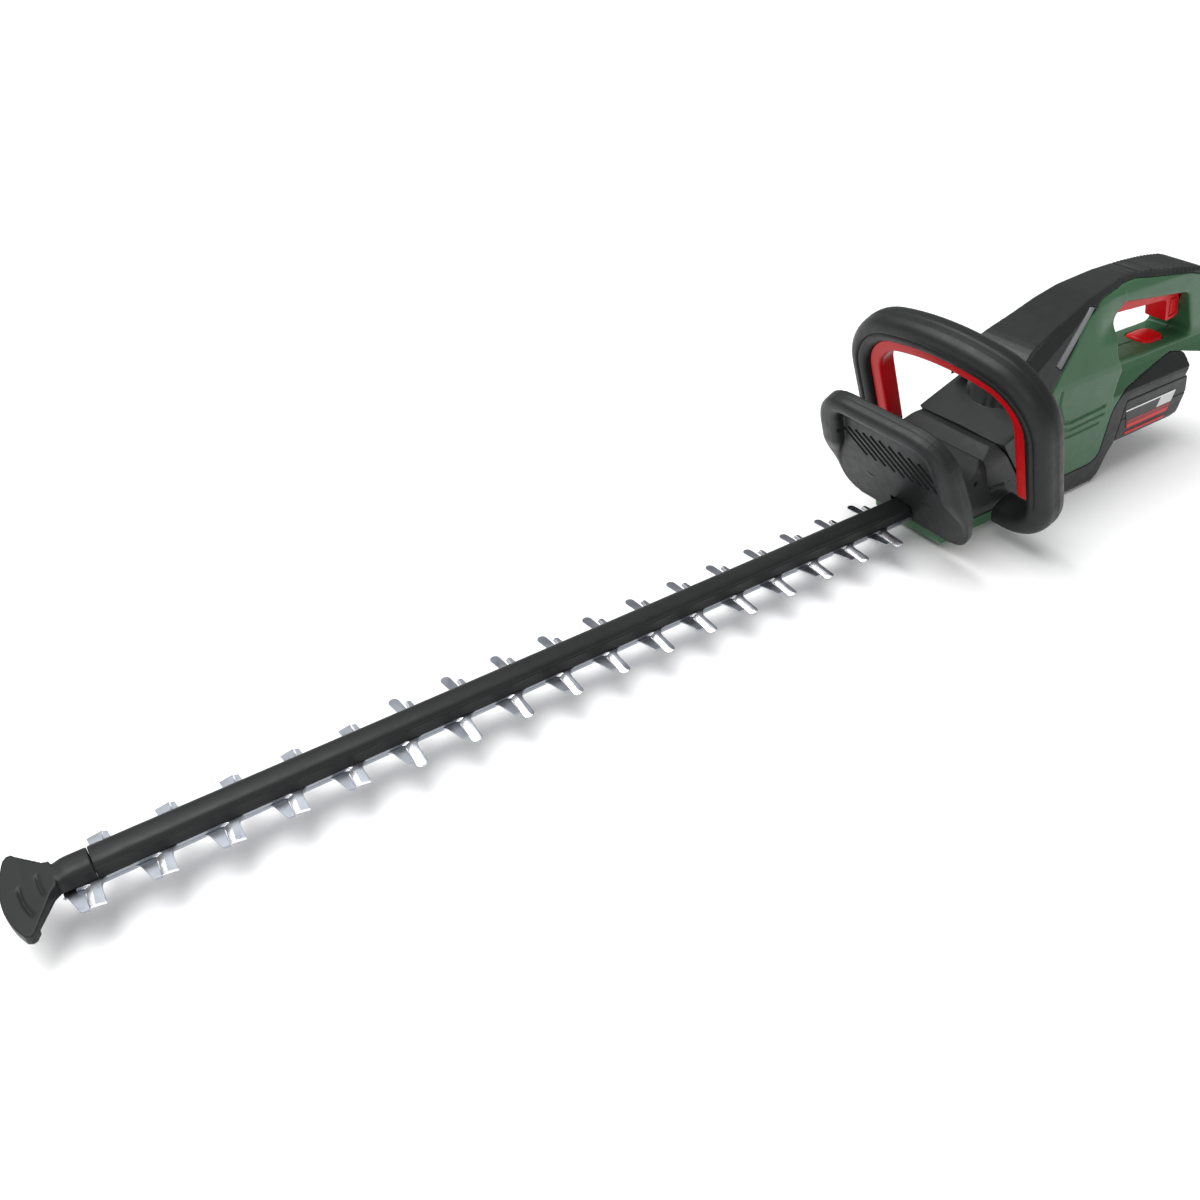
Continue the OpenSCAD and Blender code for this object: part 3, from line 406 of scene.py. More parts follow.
bolt_steel = surface("bolt_steel", (0.40, 0.41, 0.43), 0.34, metallic=1.0, grain=0.3, relief=0.01,
                     worn=(0.66, 0.67, 0.69))
gear_steel = surface("gear_steel", (0.36, 0.37, 0.39), 0.30, metallic=1.0, grain=0.3, relief=0.01,
                     worn=(0.62, 0.63, 0.65))
bearing_steel = surface("bearing_steel", (0.70, 0.71, 0.73), 0.16, metallic=1.0, grain=0.2, relief=0.004)
motor_iron = surface("motor_iron", (0.20, 0.20, 0.21), 0.50, metallic=0.9, grain=0.35, relief=0.03,
                     brush=(30, 30, 1))
copper = surface("winding_copper", (0.60, 0.25, 0.10), 0.32, metallic=0.9, grain=0.8, relief=0.10,
                 brush=(30, 30, 1), coat=0.3)
fan_plastic = surface("fan_plastic", (0.05, 0.05, 0.055), 0.50)
aluminium = surface("cast_aluminium", (0.52, 0.53, 0.55), 0.48, metallic=1.0, grain=0.9, relief=0.06)
spring_steel = surface("spring_steel", (0.55, 0.56, 0.58), 0.28, metallic=1.0, grain=0.3, relief=0.006)
switch_plastic = surface("switch_plastic", (0.026, 0.026, 0.027), 0.38, grain=0.5)
board = surface("board", (0.02, 0.13, 0.05), 0.30, grain=1.2, relief=0.03, mottle=0.2, coat=0.3)
brass = surface("contact_brass", (0.74, 0.55, 0.22), 0.25, metallic=1.0, grain=0.3, relief=0.006)
cell_wrap = surface("cell_wrap", (0.04, 0.20, 0.46), 0.30, grain=1.5, relief=0.03, coat=0.2)
battery_plastic = surface("battery_plastic", (0.013, 0.0138, 0.0138), 0.40, grain=0.6, relief=0.04)
label_black = surface("label_black", (0.012, 0.012, 0.013), 0.30, grain=0.5, relief=0.006, mottle=0.05)
label_grey = surface("label_grey", (0.56, 0.57, 0.58), 0.34, grain=0.5, relief=0.006, mottle=0.04)
label_white = surface("label_white", (0.82, 0.83, 0.83), 0.34, grain=0.5, relief=0.006, mottle=0.03)
label_dark_red = surface("label_dark_red", (0.24, 0.008, 0.010), 0.34, grain=0.5, relief=0.006, mottle=0.05)
label_red = surface("label_red", (0.55, 0.010, 0.014), 0.34, grain=0.5, relief=0.006, mottle=0.05)
vent_plastic = surface("vent_plastic", (0.20, 0.21, 0.215), 0.42, grain=0.5)

SLOT_FINISH = {
    "blade_steel": blade_steel, "bar_steel": bar_steel, "bolt_steel": bolt_steel,
    "black_plastic": black_plastic, "tube_plastic": tube_plastic,
    "dark_grey_plastic": dark_grey_plastic, "cover_plastic": cover_plastic,
    "green_plastic": green_plastic, "red_plastic": red_plastic, "grip_rubber": rubber,
    "gear_steel": gear_steel, "bearing_steel": bearing_steel, "motor_iron": motor_iron,
    "winding_copper": copper, "fan_plastic": fan_plastic, "cast_aluminium": aluminium,
    "spring_steel": spring_steel, "switch_plastic": switch_plastic, "board": board, "contact_brass": brass,
    "cell_wrap": cell_wrap, "battery_plastic": battery_plastic, "label_film": label_black,
    "trim_red": label_red, "vent_plastic": vent_plastic,
}


def finish_cad_nodes():
    """Every CAD node takes the finish of its slot in the record."""
    own = {"guard_screws": black_oxide, "housing_screws": black_oxide}
    for part in frame["record"]["subparts"]:
        obj = frame["nodes"][part["node"]]
        for slot in obj.material_slots:
            slot.material = own.get(part["node"], SLOT_FINISH[part["material_slot"]])


# ---------------------------------------------------------------- blades

TIP_IN, TIP_OUT, TIP_ROUND = -4.6, 20, 3.6
CUT = 3.4               # width of the ground edge on a long tooth
BLADE_T = 2
BLADE_GAP = 0.15        # from each blade to the plane between them
LAND = 0.5              # height of the upright part of a ground edge
HEEL_HALF, HEEL_OUT = 14, 21
YOKE_HALF_X, YOKE_HALF_Y = 5.4, 14
BOLTS, BOLT_X0, BOLT_STEP = 6, 30, 118
SLOT_R = 2.8


def tooth_line(kind):
    """Outline of a tooth, out from the spine, as (along, out, share of the ground edge's width)."""
    if kind == "long":
        turn = [math.radians(a) for a in range(180, -1, -20)]
        tip = [(TIP_IN + TIP_ROUND * math.cos(a), TIP_OUT + TIP_ROUND * math.sin(a), 0.5 - 0.5 * math.cos(a))
               for a in turn]
        return [(-8.4, 0, 1), (-6.6, 0.9, 1), (-6.25, 3, 1)] + tip + [
            (-0.4, 8, 0), (0.1, 5.4, 0), (1.2, 3, 0), (3.2, 0.9, 0), (6, 0, 0)]
    if kind == "saw":
        return [(-8.4, 0, 1), (-6.6, 0.9, 1), (-6.3, 3, 1), (-7.5, 15.6, 1), (1.2, 17.2, 0), (1.6, 7, 0),
                (2.0, 4, 0), (3.2, 1.6, 0), (5.6, 0, 0)]
    if kind == "short_upper":
        return [(-3.6, 0, 0.3), (-2.7, 1.2, 0.3), (-2.1, 14, 0.3), (1.4, 13.2, 0), (2.3, 1.4, 0), (3.6, 0, 0)]
    return [(-7, 0, 0.4), (-4.9, 1.2, 0.4), (-1.4, 14.4, 0.4), (3.1, 14.8, 0), (3.7, 1.6, 0), (6, 0, 0)]


def blade(start, long_side, long_x, short_x, short_kind, heel_x, slot_lo, slot_hi, z0, ground_up):
    """A toothed plate whose teeth are ground to an edge on their leading side. Its bolt slots reach
    slot_lo forward and slot_hi rearward of each bolt."""
    kinds = {long_side: ["saw"] * SAW_TEETH + ["long"] * (TEETH - SAW_TEETH),
             -long_side: [short_kind] * TEETH}
    shift = {long_side: long_x, -long_side: short_x}

    def edge(side):
        line = [(start, SPINE, 0)]
        for k, kind in enumerate(kinds[side]):
            line += [(k * PITCH + shift[side] + a, SPINE + out, cut) for a, out, cut in tooth_line(kind)]
        front, back = heel_x - HEEL_HALF, heel_x + HEEL_HALF
        line += [(front, SPINE, 0), (front, HEEL_OUT, 0), (back, HEEL_OUT, 0)]
        return [(x, side * y, cut) for x, y, cut in line]

    outline = edge(-1) + edge(1)[::-1]
    plain = [(x, y) for x, y, cut in outline]
    ground = [(x + cut * CUT, y) for x, y, cut in outline]
    flat, cut_face = (z0, z0 + BLADE_T) if ground_up else (z0 + BLADE_T, z0)
    land = z0 + (LAND if ground_up else BLADE_T - LAND)
    rings = [[(x, y, flat) for x, y in plain], [(x, y, land) for x, y in plain],
             [(x, y, cut_face) for x, y in ground]]
    body = loft(rings)
    cutters = [box(heel_x - YOKE_HALF_X, heel_x + YOKE_HALF_X, -YOKE_HALF_Y, YOKE_HALF_Y, z0 - 1, z0 + 3)]
    turn = [math.radians(a) for a in range(-90, 91, 20)]
    for k in range(BOLTS):
        x = BOLT_X0 + k * BOLT_STEP
        slot = [(x + slot_hi + SLOT_R * math.cos(a), SLOT_R * math.sin(a)) for a in turn]
        slot += [(x - slot_lo - SLOT_R * math.cos(a), -SLOT_R * math.sin(a)) for a in turn]
        cutters.append(prism(slot, z0 - 1, z0 + 3, "z"))
    return combined(body, cutters)


def mark_ground(obj):
    """Second material on the slanted faces, which are the ground edges: bare ground steel, with a painted
    highlight for the light that these up-left facing bevels catch.
    """
    for f in obj.data.polygons:
        if 0.2 < abs(f.normal.z) < 0.97:
            f.material_index = 1


def blades():
    upper = blade(start=-10, long_side=-1, long_x=0.3, short_x=13, short_kind="short_upper",
                  heel_x=CRANK_X - 5, slot_lo=13, slot_hi=3, z0=BLADE_Z + BLADE_GAP, ground_up=True)
    obj = crisp(piece("upper_blade_plate", upper, (blade_steel, ground_steel_with_highlight), "upper_blade", "blade_steel",
                      "blade_upper"))
    mark_ground(obj)
    lower_z = BLADE_Z - (BLADE_T + BLADE_GAP)
    lower = blade(start=-16.5, long_side=1, long_x=10.4, short_x=-10.3, short_kind="short_lower",
                  heel_x=CRANK_X + 5, slot_lo=3, slot_hi=13, z0=lower_z, ground_up=False)
    obj = crisp(piece("lower_blade_plate", lower, (blade_steel, ground_steel_with_highlight), "lower_blade", "blade_steel",
                      "blade_lower"))
    mark_ground(obj)


# ---------------------------------------------------------------- bar cover and tip guard

def cover_section(shrink=0.0):
    """Outside of the cover's section: flat flanks, a crease on each side, a domed top."""
    dome = []
    for k in range(13):
        a = math.pi * k / 12
        dome.append((8.35 * fuller(math.cos(a), 0.7), 33.9 + 3.6 * math.sin(a) ** 0.8))
    right = [(9.6, BAR_Z), (9.6, 27.4), (9.1, 28.2), (8.6, 32.7), (8.95, 33.1), (8.95, 33.5)]
    outer = right + dome + [(-y, z) for y, z in reversed(right)]
    return [(y * (1 - shrink), 30 + (z - 30) * (1 - shrink) if z > BAR_Z else z) for y, z in outer]


def bar_cover():
    inner = [(-8.2, BAR_Z), (-8.2, 29.3), (-7.1, 32.8), (-3.2, 35.9), (3.2, 35.9), (7.1, 32.8), (8.2, 29.3),
             (8.2, BAR_Z)]
    stations = [(2.1, 0.05), (2.7, 0)] + [(x, 0) for x in range(20, 640, 20)] + [(650, 0), (651, 0.02)]
    cover = loft([[(x, y, z) for y, z in cover_section(g) + inner] for x, g in stations])
    crisp(piece("bar_cover_shell", cover, black_plastic, "machine", "black_plastic", "bar_cover"), 35)


def tip_guard():
    """Fan-shaped paddle that grows out of a sleeve over the end of the bar."""
    arc_r, arc_x = 70, 25
    lead = [math.radians(a) for a in range(-25, 26, 2)]
    fan = [(arc_x - arc_r * math.cos(a), -arc_r * math.sin(a)) for a in lead]
    fan = [(-36.2, 31)] + fan + [(-36.2, -31), (-33.8, -30.6), (-32.6, -28.6), (-20.5, -11.5), (-17, -9.2),
                                 (-17, 9.2), (-20.5, 11.5), (-32.6, 28.6), (-33.8, 30.6)]
    above = prism([(-60, 28.4), (-45, 28.8), (-32, 31.2), (-12, 37.2), (-12, 45), (-60, 45)], -50, 50, "y")
    paddle = combined(prism(fan, 23.2, 38, "z"), [above])
    stations = ((-24, 0.9, 0.5), (-18, 0.97, 0.78), (-12, 1, 0.97), (-9, 1, 1), (1.2, 1, 1),
                (1.8, 0.97, 0.97))
    sleeve = loft([[(x, y * w, BAR_Z + (z - BAR_Z) * h) for y, z in cover_section()]
                   for x, w, h in stations])
    solid = skinned(joined(paddle, sleeve), 0.55, 5)
    solid = combined(solid, [box(-31.5, 10, -40, 40, 10, BAR_Z), box(-10, 10, -8.1, 8.1, 20, 29.1)])

    def grooves(p, n):
        r = np.hypot(p[:, 0] - arc_x, p[:, 1])
        a = np.degrees(np.arctan2(p[:, 1], arc_x - p[:, 0]))
        for r0, lo, hi in ((60, -20, 5), (50, -14, 7)):
            edge = np.clip((a - lo) / 3, 0, 1) * np.clip((hi - a) / 3, 0, 1)
            depth = 1.1 * np.exp(-(r - r0) ** 2) * edge
            p[:, 2] -= depth * (n[:, 2] > 0.7) * (p[:, 2] > 26)
        return p

    solid = moved(solid, grooves)
    crisp(piece("tip_guard_fan", solid, black_plastic, "machine", "black_plastic", "tip_guard"), 50)


# ---------------------------------------------------------------- gearbox

def gear_room():
    """Cutter for the room that the crank gear turns in."""
    return box(668, 764, -31, 31, 45.5, 59.3)


def gearbox_tray():
    base_side = rounded([(648, 18, 0), (650, 12, 2), (660, 0, 3), (764, 0, 3), (770, 8, 2), (770, 18, 0)])
    base_section = [(-34, 18), (-34, 8), (-27, 0), (27, 0), (34, 8), (34, 18)]
    tray = combined(prism(base_side, -34, 34, "y"), [prism(base_section, 640, 780, "x")], "INTERSECT")
    tray = combined(tray, [box(660, 764, -30, 30, 5, 40)])
    weighted(crisp(piece("gearbox_tray", bevelled(tray, 1.0), green_plastic, "machine", "green_plastic",
                         "gearbox_base"), 40))


def gearbox_housing():
    """Faceted case with a raised block behind it, a seam between them and a ledge on each flank."""
    section = rounded([(-34, 18.3, 3), (34, 18.3, 3), (41.5, 34, 5), (41.5, 76, 5), (37, 83, 3), (-37, 83, 3),
                       (-41.5, 76, 5), (-41.5, 34, 5)], 3)
    side = [(656, 18.3), (733.5, 18.3), (742, 83), (673, 83), (663, 68), (655, 44)]
    case = combined(prism(side, -50, 50, "y"), [prism(section, 640, 780, "x")], "INTERSECT")
    block_section = rounded([(-39, 50, 2), (39, 50, 2), (44, 53, 2), (44, 79, 5), (38, 90, 3), (-38, 90, 3),
                             (-44, 79, 5), (-44, 53, 2)], 3)
    block_side = [(672, 82.5), (683.5, 89.8), (691.4, 89.8), (723.5, 51.2), (691, 51.2), (684, 58), (674, 79)]
    block = combined(prism(block_side, -50, 50, "y"), [prism(block_section, 640, 780, "x")], "INTERSECT")
    behind_seam = prism([(692, 95), (692, 90), (724.2, 51.5), (760, 51.5), (760, 95)], -50, 50, "y")
    hollow = [box(660, 764, -32, 32, 17, 46), gear_room(), cylinder(MOTOR_X, 0, 59, MOTOR_ROOM_R, 60, "z"),
              box(640, 666, -10.4, 10.4, 17, COVER_TOP + 0.3)]
    holes = [cylinder(671, s * 38, 62, 2.4, s * 12, "y") for s in (-1, 1)]
    case = combined(case, hollow + holes + [behind_seam])
    inner = box(743, 770, -34.5, 34.5, 18.6, 89.4)
    inner = combined(inner, [cylinder(MOTOR_X, 0, 10, MOTOR_ROOM_R, 100, "z"),
                             box(700, 764, -32, 32, 17, 59.3)])
    ledge = ((40, 49.5), (45.2, 49.8), (45.2, 51), (40, 54.5))
    ledges = [hull([(x, s * y, z) for x in (690, 707) for y, z in ledge]) for s in (-1, 1)]
    block = combined(block, [gear_room(), cylinder(MOTOR_X, 0, 59, MOTOR_ROOM_R, 60, "z")])
    parts = [bevelled(case, 1.2), bevelled(block, 1.5), *(bevelled(b, 0.5, 2) for b in ledges), inner]
    weighted(crisp(piece("gearbox_housing", joined(*parts), dark_grey_plastic, "machine", "dark_grey_plastic",
                         "gearbox_case"), 40))


def motor_cowl():
    """Sloping deck over the gearbox, with a round cap over the motor."""
    deck = [(690, 0, 92.6), (744.5, 0, 116.5)]
    deck += [(x, s * y, z) for s in (-1, 1) for x, y, z in (
        (689.5, 36, 91), (744.5, 38, 114), (694, 43, 89.6), (726, 43, 52), (735.5, 43, 52), (744.5, 43, 106))]
    nose = combined(hull(deck), [cylinder(MOTOR_X, 0, 40, COWL_ROOM_R, 60, "z"),
                                 box(700, 760, -40, 40, 40, 91)])
    turn = [2 * math.pi * k / 48 for k in range(48)]
    bump = [(MOTOR_X + r * math.cos(a), r * math.sin(a), z)
            for r, z in ((29.9, 92), (29.9, 129), (27.5, 131.6)) for a in turn
            if MOTOR_X + r * math.cos(a) < 744.6]
    bump = combined(hull(bump), [cylinder(MOTOR_X, 0, 40, COWL_ROOM_R, 90.9, "z")])
    cowl = joined(bevelled(nose, 1.3), bevelled(bump, 0.8, 2, 50))
    weighted(crisp(piece("motor_cowl_nose", cowl, dark_grey_plastic, "machine", "dark_grey_plastic",
                         "motor_cowl"), 40))


# ---------------------------------------------------------------- hand guard

GUARD_CORNERS = [(-64, -6, 22), (64, -6, 22), (74, 40, 20), (64, 114, 34), (-64, 114, 34), (-74, 40, 20)]
SLITS = 10
SLIT_PITCH = 9
SLIT_HALF = 1.9
SLIT_V = 64             # height of the slits' middles


def guard_lip(outline):
    """Rolled edge around the guard, thin at the foot and fuller towards the top and the sides."""
    centre = Vector((0, 50))
    rings = []
    for i, (y, v) in enumerate(outline):
        before, after = Vector(outline[i - 1]), Vector(outline[(i + 1) % len(outline)])
        along = (after - before).normalized()
        out = Vector((along.y, -along.x))
        if out.dot(Vector((y, v)) - centre) < 0:
            out = -out
        grow = min(1, max(0, (v - 14) / 52))
        grow = grow * grow * (3 - 2 * grow)
        side = min(1, max(0, (abs(y) - 48) / 18))
        wide, deep = 2.6 + 4.2 * grow + 3.4 * side * grow, 2.6 + 4.9 * grow
        mid = Vector((y, v)) - out * wide
        ring = []
        for k in range(16):
            a = 2 * math.pi * k / 16
            n = -deep + deep * fuller(math.sin(a), 0.8)
            w = wide * fuller(math.cos(a), 0.8)
            ring.append((n, mid.x + out.x * w, mid.y + out.y * w))
        rings.append(ring)
    return loft(rings, closed=True)


def guard_slits():
    """Cutters for the slits, at 45 degrees and shorter towards both ends of the row."""
    c = math.sqrt(0.5)
    middle = (SLITS - 1) / 2
    slits = []
    for k in range(SLITS):
        mid_y, length = (middle - k) * SLIT_PITCH, 44 - abs(k - middle) * 2.2
        a = Vector((mid_y + length / 2 * c, SLIT_V + length / 2 * c))
        b = Vector((mid_y - length / 2 * c, SLIT_V - length / 2 * c))
        w = Vector((c, -c)) * SLIT_HALF
        slits.append(loft([[(n, p.x, p.y) for p in (a + w, a - w, b - w, b + w)] for n in (-12, 4)]))
    return slits


def hand_guard():
    outline = rounded(GUARD_CORNERS, 10)
    plate = loft([[(n, y, v) for y, v in outline] for n in (-5, 0)])
    lip = guard_lip(outline)
    thin = rounded([(-44, 44, 8), (48, 44, 8), (56, 66, 8), (48, 94, 8), (-48, 94, 8), (-56, 66, 8)])
    pocket = loft([[(n, y, v) for y, v in thin] for n in (-2.6, 6)])
    slits = guard_slits()
    for bm in (plate, lip, pocket, *slits):
        bm.transform(GUARD)
    bosses = [cylinder(630, s * 30, 56, 7, 27.8, "x") for s in (-1, 1)]
    notch = box(600, 690, -11, 11, 0, COVER_TOP + 0.8)
    solid = skinned(joined(plate, lip, *bosses), 0.8, 2)
    solid = combined(solid, [notch, *slits, pocket])
    crisp(piece("hand_guard_shield", solid, black_plastic, "machine", "black_plastic", "hand_guard"), 38)


# ---------------------------------------------------------------- loop handle

LOOP_STEP = 3           # between rings on the straight legs
FOOT_Y = 44.2           # inner end of each foot
BAR_LIFT = 2.4          # lower end of the switch bar, above the foot's bend


def loop_path(low):
    """Middle line of the tube from one end to the other, as (y, v, outward y, outward v)."""
    crown_a = math.asin((LOOP_HALF - CORNER_R) / (CROWN_R - CORNER_R))
    crown_v = LOOP_TOP - CROWN_R
    corner_v = crown_v + (CROWN_R - CORNER_R) * math.cos(crown_a)
    half = []
    foot_y, foot_v = LOOP_HALF - FOOT_R, FOOT_V + FOOT_R
    if low:
        for k in range(4):
            half.append((FOOT_Y + (foot_y - FOOT_Y) * k / 4, FOOT_V, 0, -1))
        for k in range(13):
            a = math.radians(-90 + 90 * k / 12)
            half.append((foot_y + FOOT_R * math.cos(a), foot_v + FOOT_R * math.sin(a),
                         math.cos(a), math.sin(a)))
    else:
        half.append((LOOP_HALF, foot_v + BAR_LIFT, 1, 0))
    rise = int((corner_v - half[-1][1]) / LOOP_STEP)
    v0 = half[-1][1]
    for k in range(1, rise):
        half.append((LOOP_HALF, v0 + (corner_v - v0) * k / rise, 1, 0))
    steps = 20
    for k in range(steps):
        a = (math.pi / 2 - crown_a) * k / steps
        half.append((LOOP_HALF - CORNER_R + CORNER_R * math.cos(a), corner_v + CORNER_R * math.sin(a),
                     math.cos(a), math.sin(a)))
    for k in range(steps + 1):
        a = math.pi / 2 - crown_a + crown_a * k / steps
        half.append((CROWN_R * math.cos(a), crown_v + CROWN_R * math.sin(a), math.cos(a), math.sin(a)))
    return half + [(-y, v, -oy, ov) for y, v, oy, ov in reversed(half[:-1])]


def dip(value, at, width, depth):
    """Depth of a flat-bottomed groove."""
    return depth * math.exp(-((value - at) / width) ** 4)


def loop_tube():
    """Both shells of the loop, with the grooves along its front, its outer seam and the bar's slot."""
    rings = []
    for y, v, oy, ov in loop_path(True):
        leg = min(1, max(0, (v - 40) / 6))
        ring = []
        for k in range(96):
            a = 2 * math.pi * k / 96
            w = TUBE_HALF_W * fuller(math.cos(a), 0.78)
            n = TUBE_HALF_N * fuller(math.sin(a), 0.78)
            pull = 0.0
            if abs(n) > 6:
                pull += dip(w, GROOVE_W, 1.0, 1.7) * leg
            if w > 4:
                pull += dip(n, 0.0, 0.7, 0.9) + dip(n, -2.6, 0.45, 0.5)
            if w < -6:
                pull += dip(n, 0.0, 8.6, 2.6) * leg
            r = math.hypot(w, n)
            w, n = w * (1 - pull / r), n * (1 - pull / r)
            ring.append((n, y + oy * w, v + ov * w))
        rings.append(ring)
    tube = loft(rings)
    tube.transform(LOOP)
    crisp(piece("loop_tube", tube, tube_plastic, "machine", "tube_plastic",
                "loop_front_shell", "loop_rear_shell"), 60)


def loop_bar():
    rings = []
    path = loop_path(False)
    profile = rounded([(-20.6, -8.5, 3.2), (-9.6, -8.5, 0.6), (-9.6, 8.5, 0.6), (-20.6, 8.5, 3.2)], 6)
    for i, (y, v, oy, ov) in enumerate(path):
        end = min(i, len(path) - 1 - i)
        share = 0.94 if end == 0 else 1
        ring = []
        for w, n in profile:
            w, n = -15 + (w + 15) * share, n * share
            ring.append((n, y + oy * w, v + ov * w))
        rings.append(ring)
    bar = loft(rings)
    bar.transform(LOOP)
    crisp(piece("loop_bar", bar, red_plastic, "switch_bar", "red_plastic", "loop_switch_bar"), 50)


# ---------------------------------------------------------------- housing

def smooth(t):
    t = np.clip(t, 0, 1)
    return t * t * (3 - 2 * t)


def swept(p, n):
    """Hollows the flare under the hand opening, on the housing and on the dock below it."""
    z, y = p[:, 2], np.abs(p[:, 1])
    old = np.interp(z, (82, 87, 105, 110), (38, 36.6, 22.6, 21))
    new = np.interp(z, (82, 86, 89, 93, 98, 104, 110), (38, 37.2, 33.6, 29.2, 25, 22, 21))
    share = np.clip((y - 14) / (old - 14), 0, 1) * smooth((p[:, 0] - 843) / 10)
    p[:, 1] += np.sign(p[:, 1]) * (new - old) * share
    return p


def button_plan(grow):
    """Outline of the lock button from above."""
    ring = []
    for k in range(48):
        a = 2 * math.pi * k / 48
        x = (BUTTON_HALF_X + grow) * fuller(math.cos(a), 0.5)
        y = (BUTTON_HALF_Y + grow) * fuller(math.sin(a), 0.5)
        ring.append((BUTTON_X + x, y))
    return ring


def green_shells():
    """Left and right shells, with the bridge closed up to the lock button's outline."""
    raised = [(764, 113), (766, 100), (778, 82), (790, 79.5), (836, 81.5)]
    lower = [(779, 74.5), (792, 71.8), (838, 73.6)]
    lowest = [(782, 67), (794, 64.8), (834, 66)]

    def grooves(p, n):
        flank = np.abs(p[:, 1]) > BODY - 1.2
        for line, width, depth in ((raised, 1.5, 1.7), (lower, 1.1, 1.3), (lowest, 1.1, 1.3)):
            pull = depth * np.exp(-(from_line(p[:, [0, 2]], line) / width) ** 4) * flank
            p[:, 1] -= np.sign(p[:, 1]) * pull
        return p

    def handle_share(p):
        """Full easing on the rear handle, none at the split plane and at the seams."""
        x, y, z = p[:, 0], np.abs(p[:, 1]), p[:, 2]
        top = np.interp(x, (846, 862, 942, 966, 980, 1004), (179.5, 180, 170, 164, 150, 96))
        low = np.interp(x, (846, 858, 945, 975, 1004), (84, 86, 99, 93, 93))
        ramps = ((x - 846) / 4, (y - 6) / 5, (top - z - 3) / 5, (z - low - 3) / 5, (1000 - x) / 4)
        return np.clip(np.min(ramps, axis=0), 0, 1)

    def shaped(p, n):
        """Narrows the shoulder to the grip's width, and hollows and grooves the flanks."""
        p = swept(p, n)
        x, y, z = p[:, 0], np.abs(p[:, 1]), p[:, 2]
        blend = smooth((x - 804) / 42) * smooth((z - 136) / 18) * (x < 846.6)
        p[:, 1] -= np.sign(p[:, 1]) * blend * np.clip(y - 21.2, 0, None)
        return grooves(p, n)

    for node, side, s in (("shell_left", "left", -1), ("shell_right", "right", 1)):
        patch = prism(rounded([(905, 0.05 * s, 0), (957, 0.05 * s, 0), (957, 17 * s, 0), (905, 17 * s, 0)]),
                      103.3, 106.4, "z")
        bm = skinned(joined(copied(node), patch), 0.8, 4, softer=handle_share, extra=36)
        bm = combined(moved(bm, shaped), [prism(button_plan(0.6), 100, 120, "z")])
        piece(f"housing_{side}", bm, green_plastic, "machine", "green_plastic", node)


COVER_SECTION = [(38, 60), (38, 114), (37.2, 119), (22.6, 170), (18, 178), (12, 184.5)]


def cover_solid(inset):
    """Block whose sides follow the cover's flanks, set in by inset."""
    half = [(y - inset, z) for y, z in COVER_SECTION]
    return prism(half + [(-y, z) for y, z in reversed(half)], 700, 850, "x")


def flank_band(outline, outer, inner):
    """Strip of outline on both flanks, from inset outer to inset inner under the surface."""
    band = combined(prism(outline, -60, 60, "y"), [cover_solid(outer)], "INTERSECT")
    return combined(band, [cover_solid(inner)])


def top_cover():
    """Nose cover with a crease and a channel in each flank, and the vent strips in the channels."""
    cad_vent = [(749, 135.5), (759.5, 133), (793, 169), (783, 169)]
    vent = [(753.5, 136.5), (761.5, 131), (806.5, 171.2), (797, 173)]
    strip = [(755.2, 136.3), (761.3, 132.4), (804, 170.6), (798, 171.6)]
    front = [(690, 100), (722, 100), (717, 130), (711, 136), (690, 136)]
    filler = flank_band(cad_vent, 0, 2.4)
    bm = skinned(joined(copied("top_cover"), filler), 0.8, 4)
    crease = [(722, 131), (735, 139), (773, 158), (804, 174), (846, 182)]

    def lean(p, n):
        """Leans the flanks in above the crease."""
        level = np.interp(p[:, 0], [x for x, z in crease], [z for x, z in crease])
        above = np.clip(p[:, 2] - level, 0, 12) * np.clip((842 - p[:, 0]) / 20, 0, 1)
        reach = np.clip((np.abs(p[:, 1]) - 9) / 10, 0, 1)
        p[:, 1] -= np.sign(p[:, 1]) * above * 0.32 * reach
        return p

    bm = combined(moved(bm, lean), [flank_band(vent, -4, 1.3), prism(front, -60, 60, "y")])
    piece("nose_cover", bm, cover_plastic, "machine", "cover_plastic", "top_cover")
    slats = flank_band(strip, 0.5, 1.6)
    piece("vent_strip", slats, vent_plastic, "machine", "vent_plastic", "vent_grilles")


def moulded_copy(name, node, material, slot, body="machine", change=None):
    """A CAD node's own shape with its edges eased, and with its points changed where asked."""
    bm = skinned(copied(node), 0.8, 3, 1 if change else 0.6)
    if change:
        bm = moved(bm, change)
    return piece(name, bm, material, body, slot, node)


def grip():
    """Rubber grip with ribs across its top."""
    first, pitch, count = 870.6, 6, 14

    def ribs(p, n):
        x, z = p[:, 0], p[:, 2]
        turn = (x - 0.12 * (184 - z) - first) / pitch
        ends = np.clip((turn + 0.6) * 3, 0, 1) * np.clip((count - 0.4 - turn) * 3, 0, 1)
        top = np.clip((n[:, 2] - 0.15) * 4, 0, 1) * (z > 165)
        wave = (0.5 + 0.5 * np.cos(2 * np.pi * turn)) ** 1.5
        return p - n * (wave * ends * top)[:, None]

    bm = moved(skinned(copied("grip_rubber"), 0.5, 3), ribs)
    piece("rear_grip", bm, rubber, "machine", "grip_rubber", "grip_rubber")


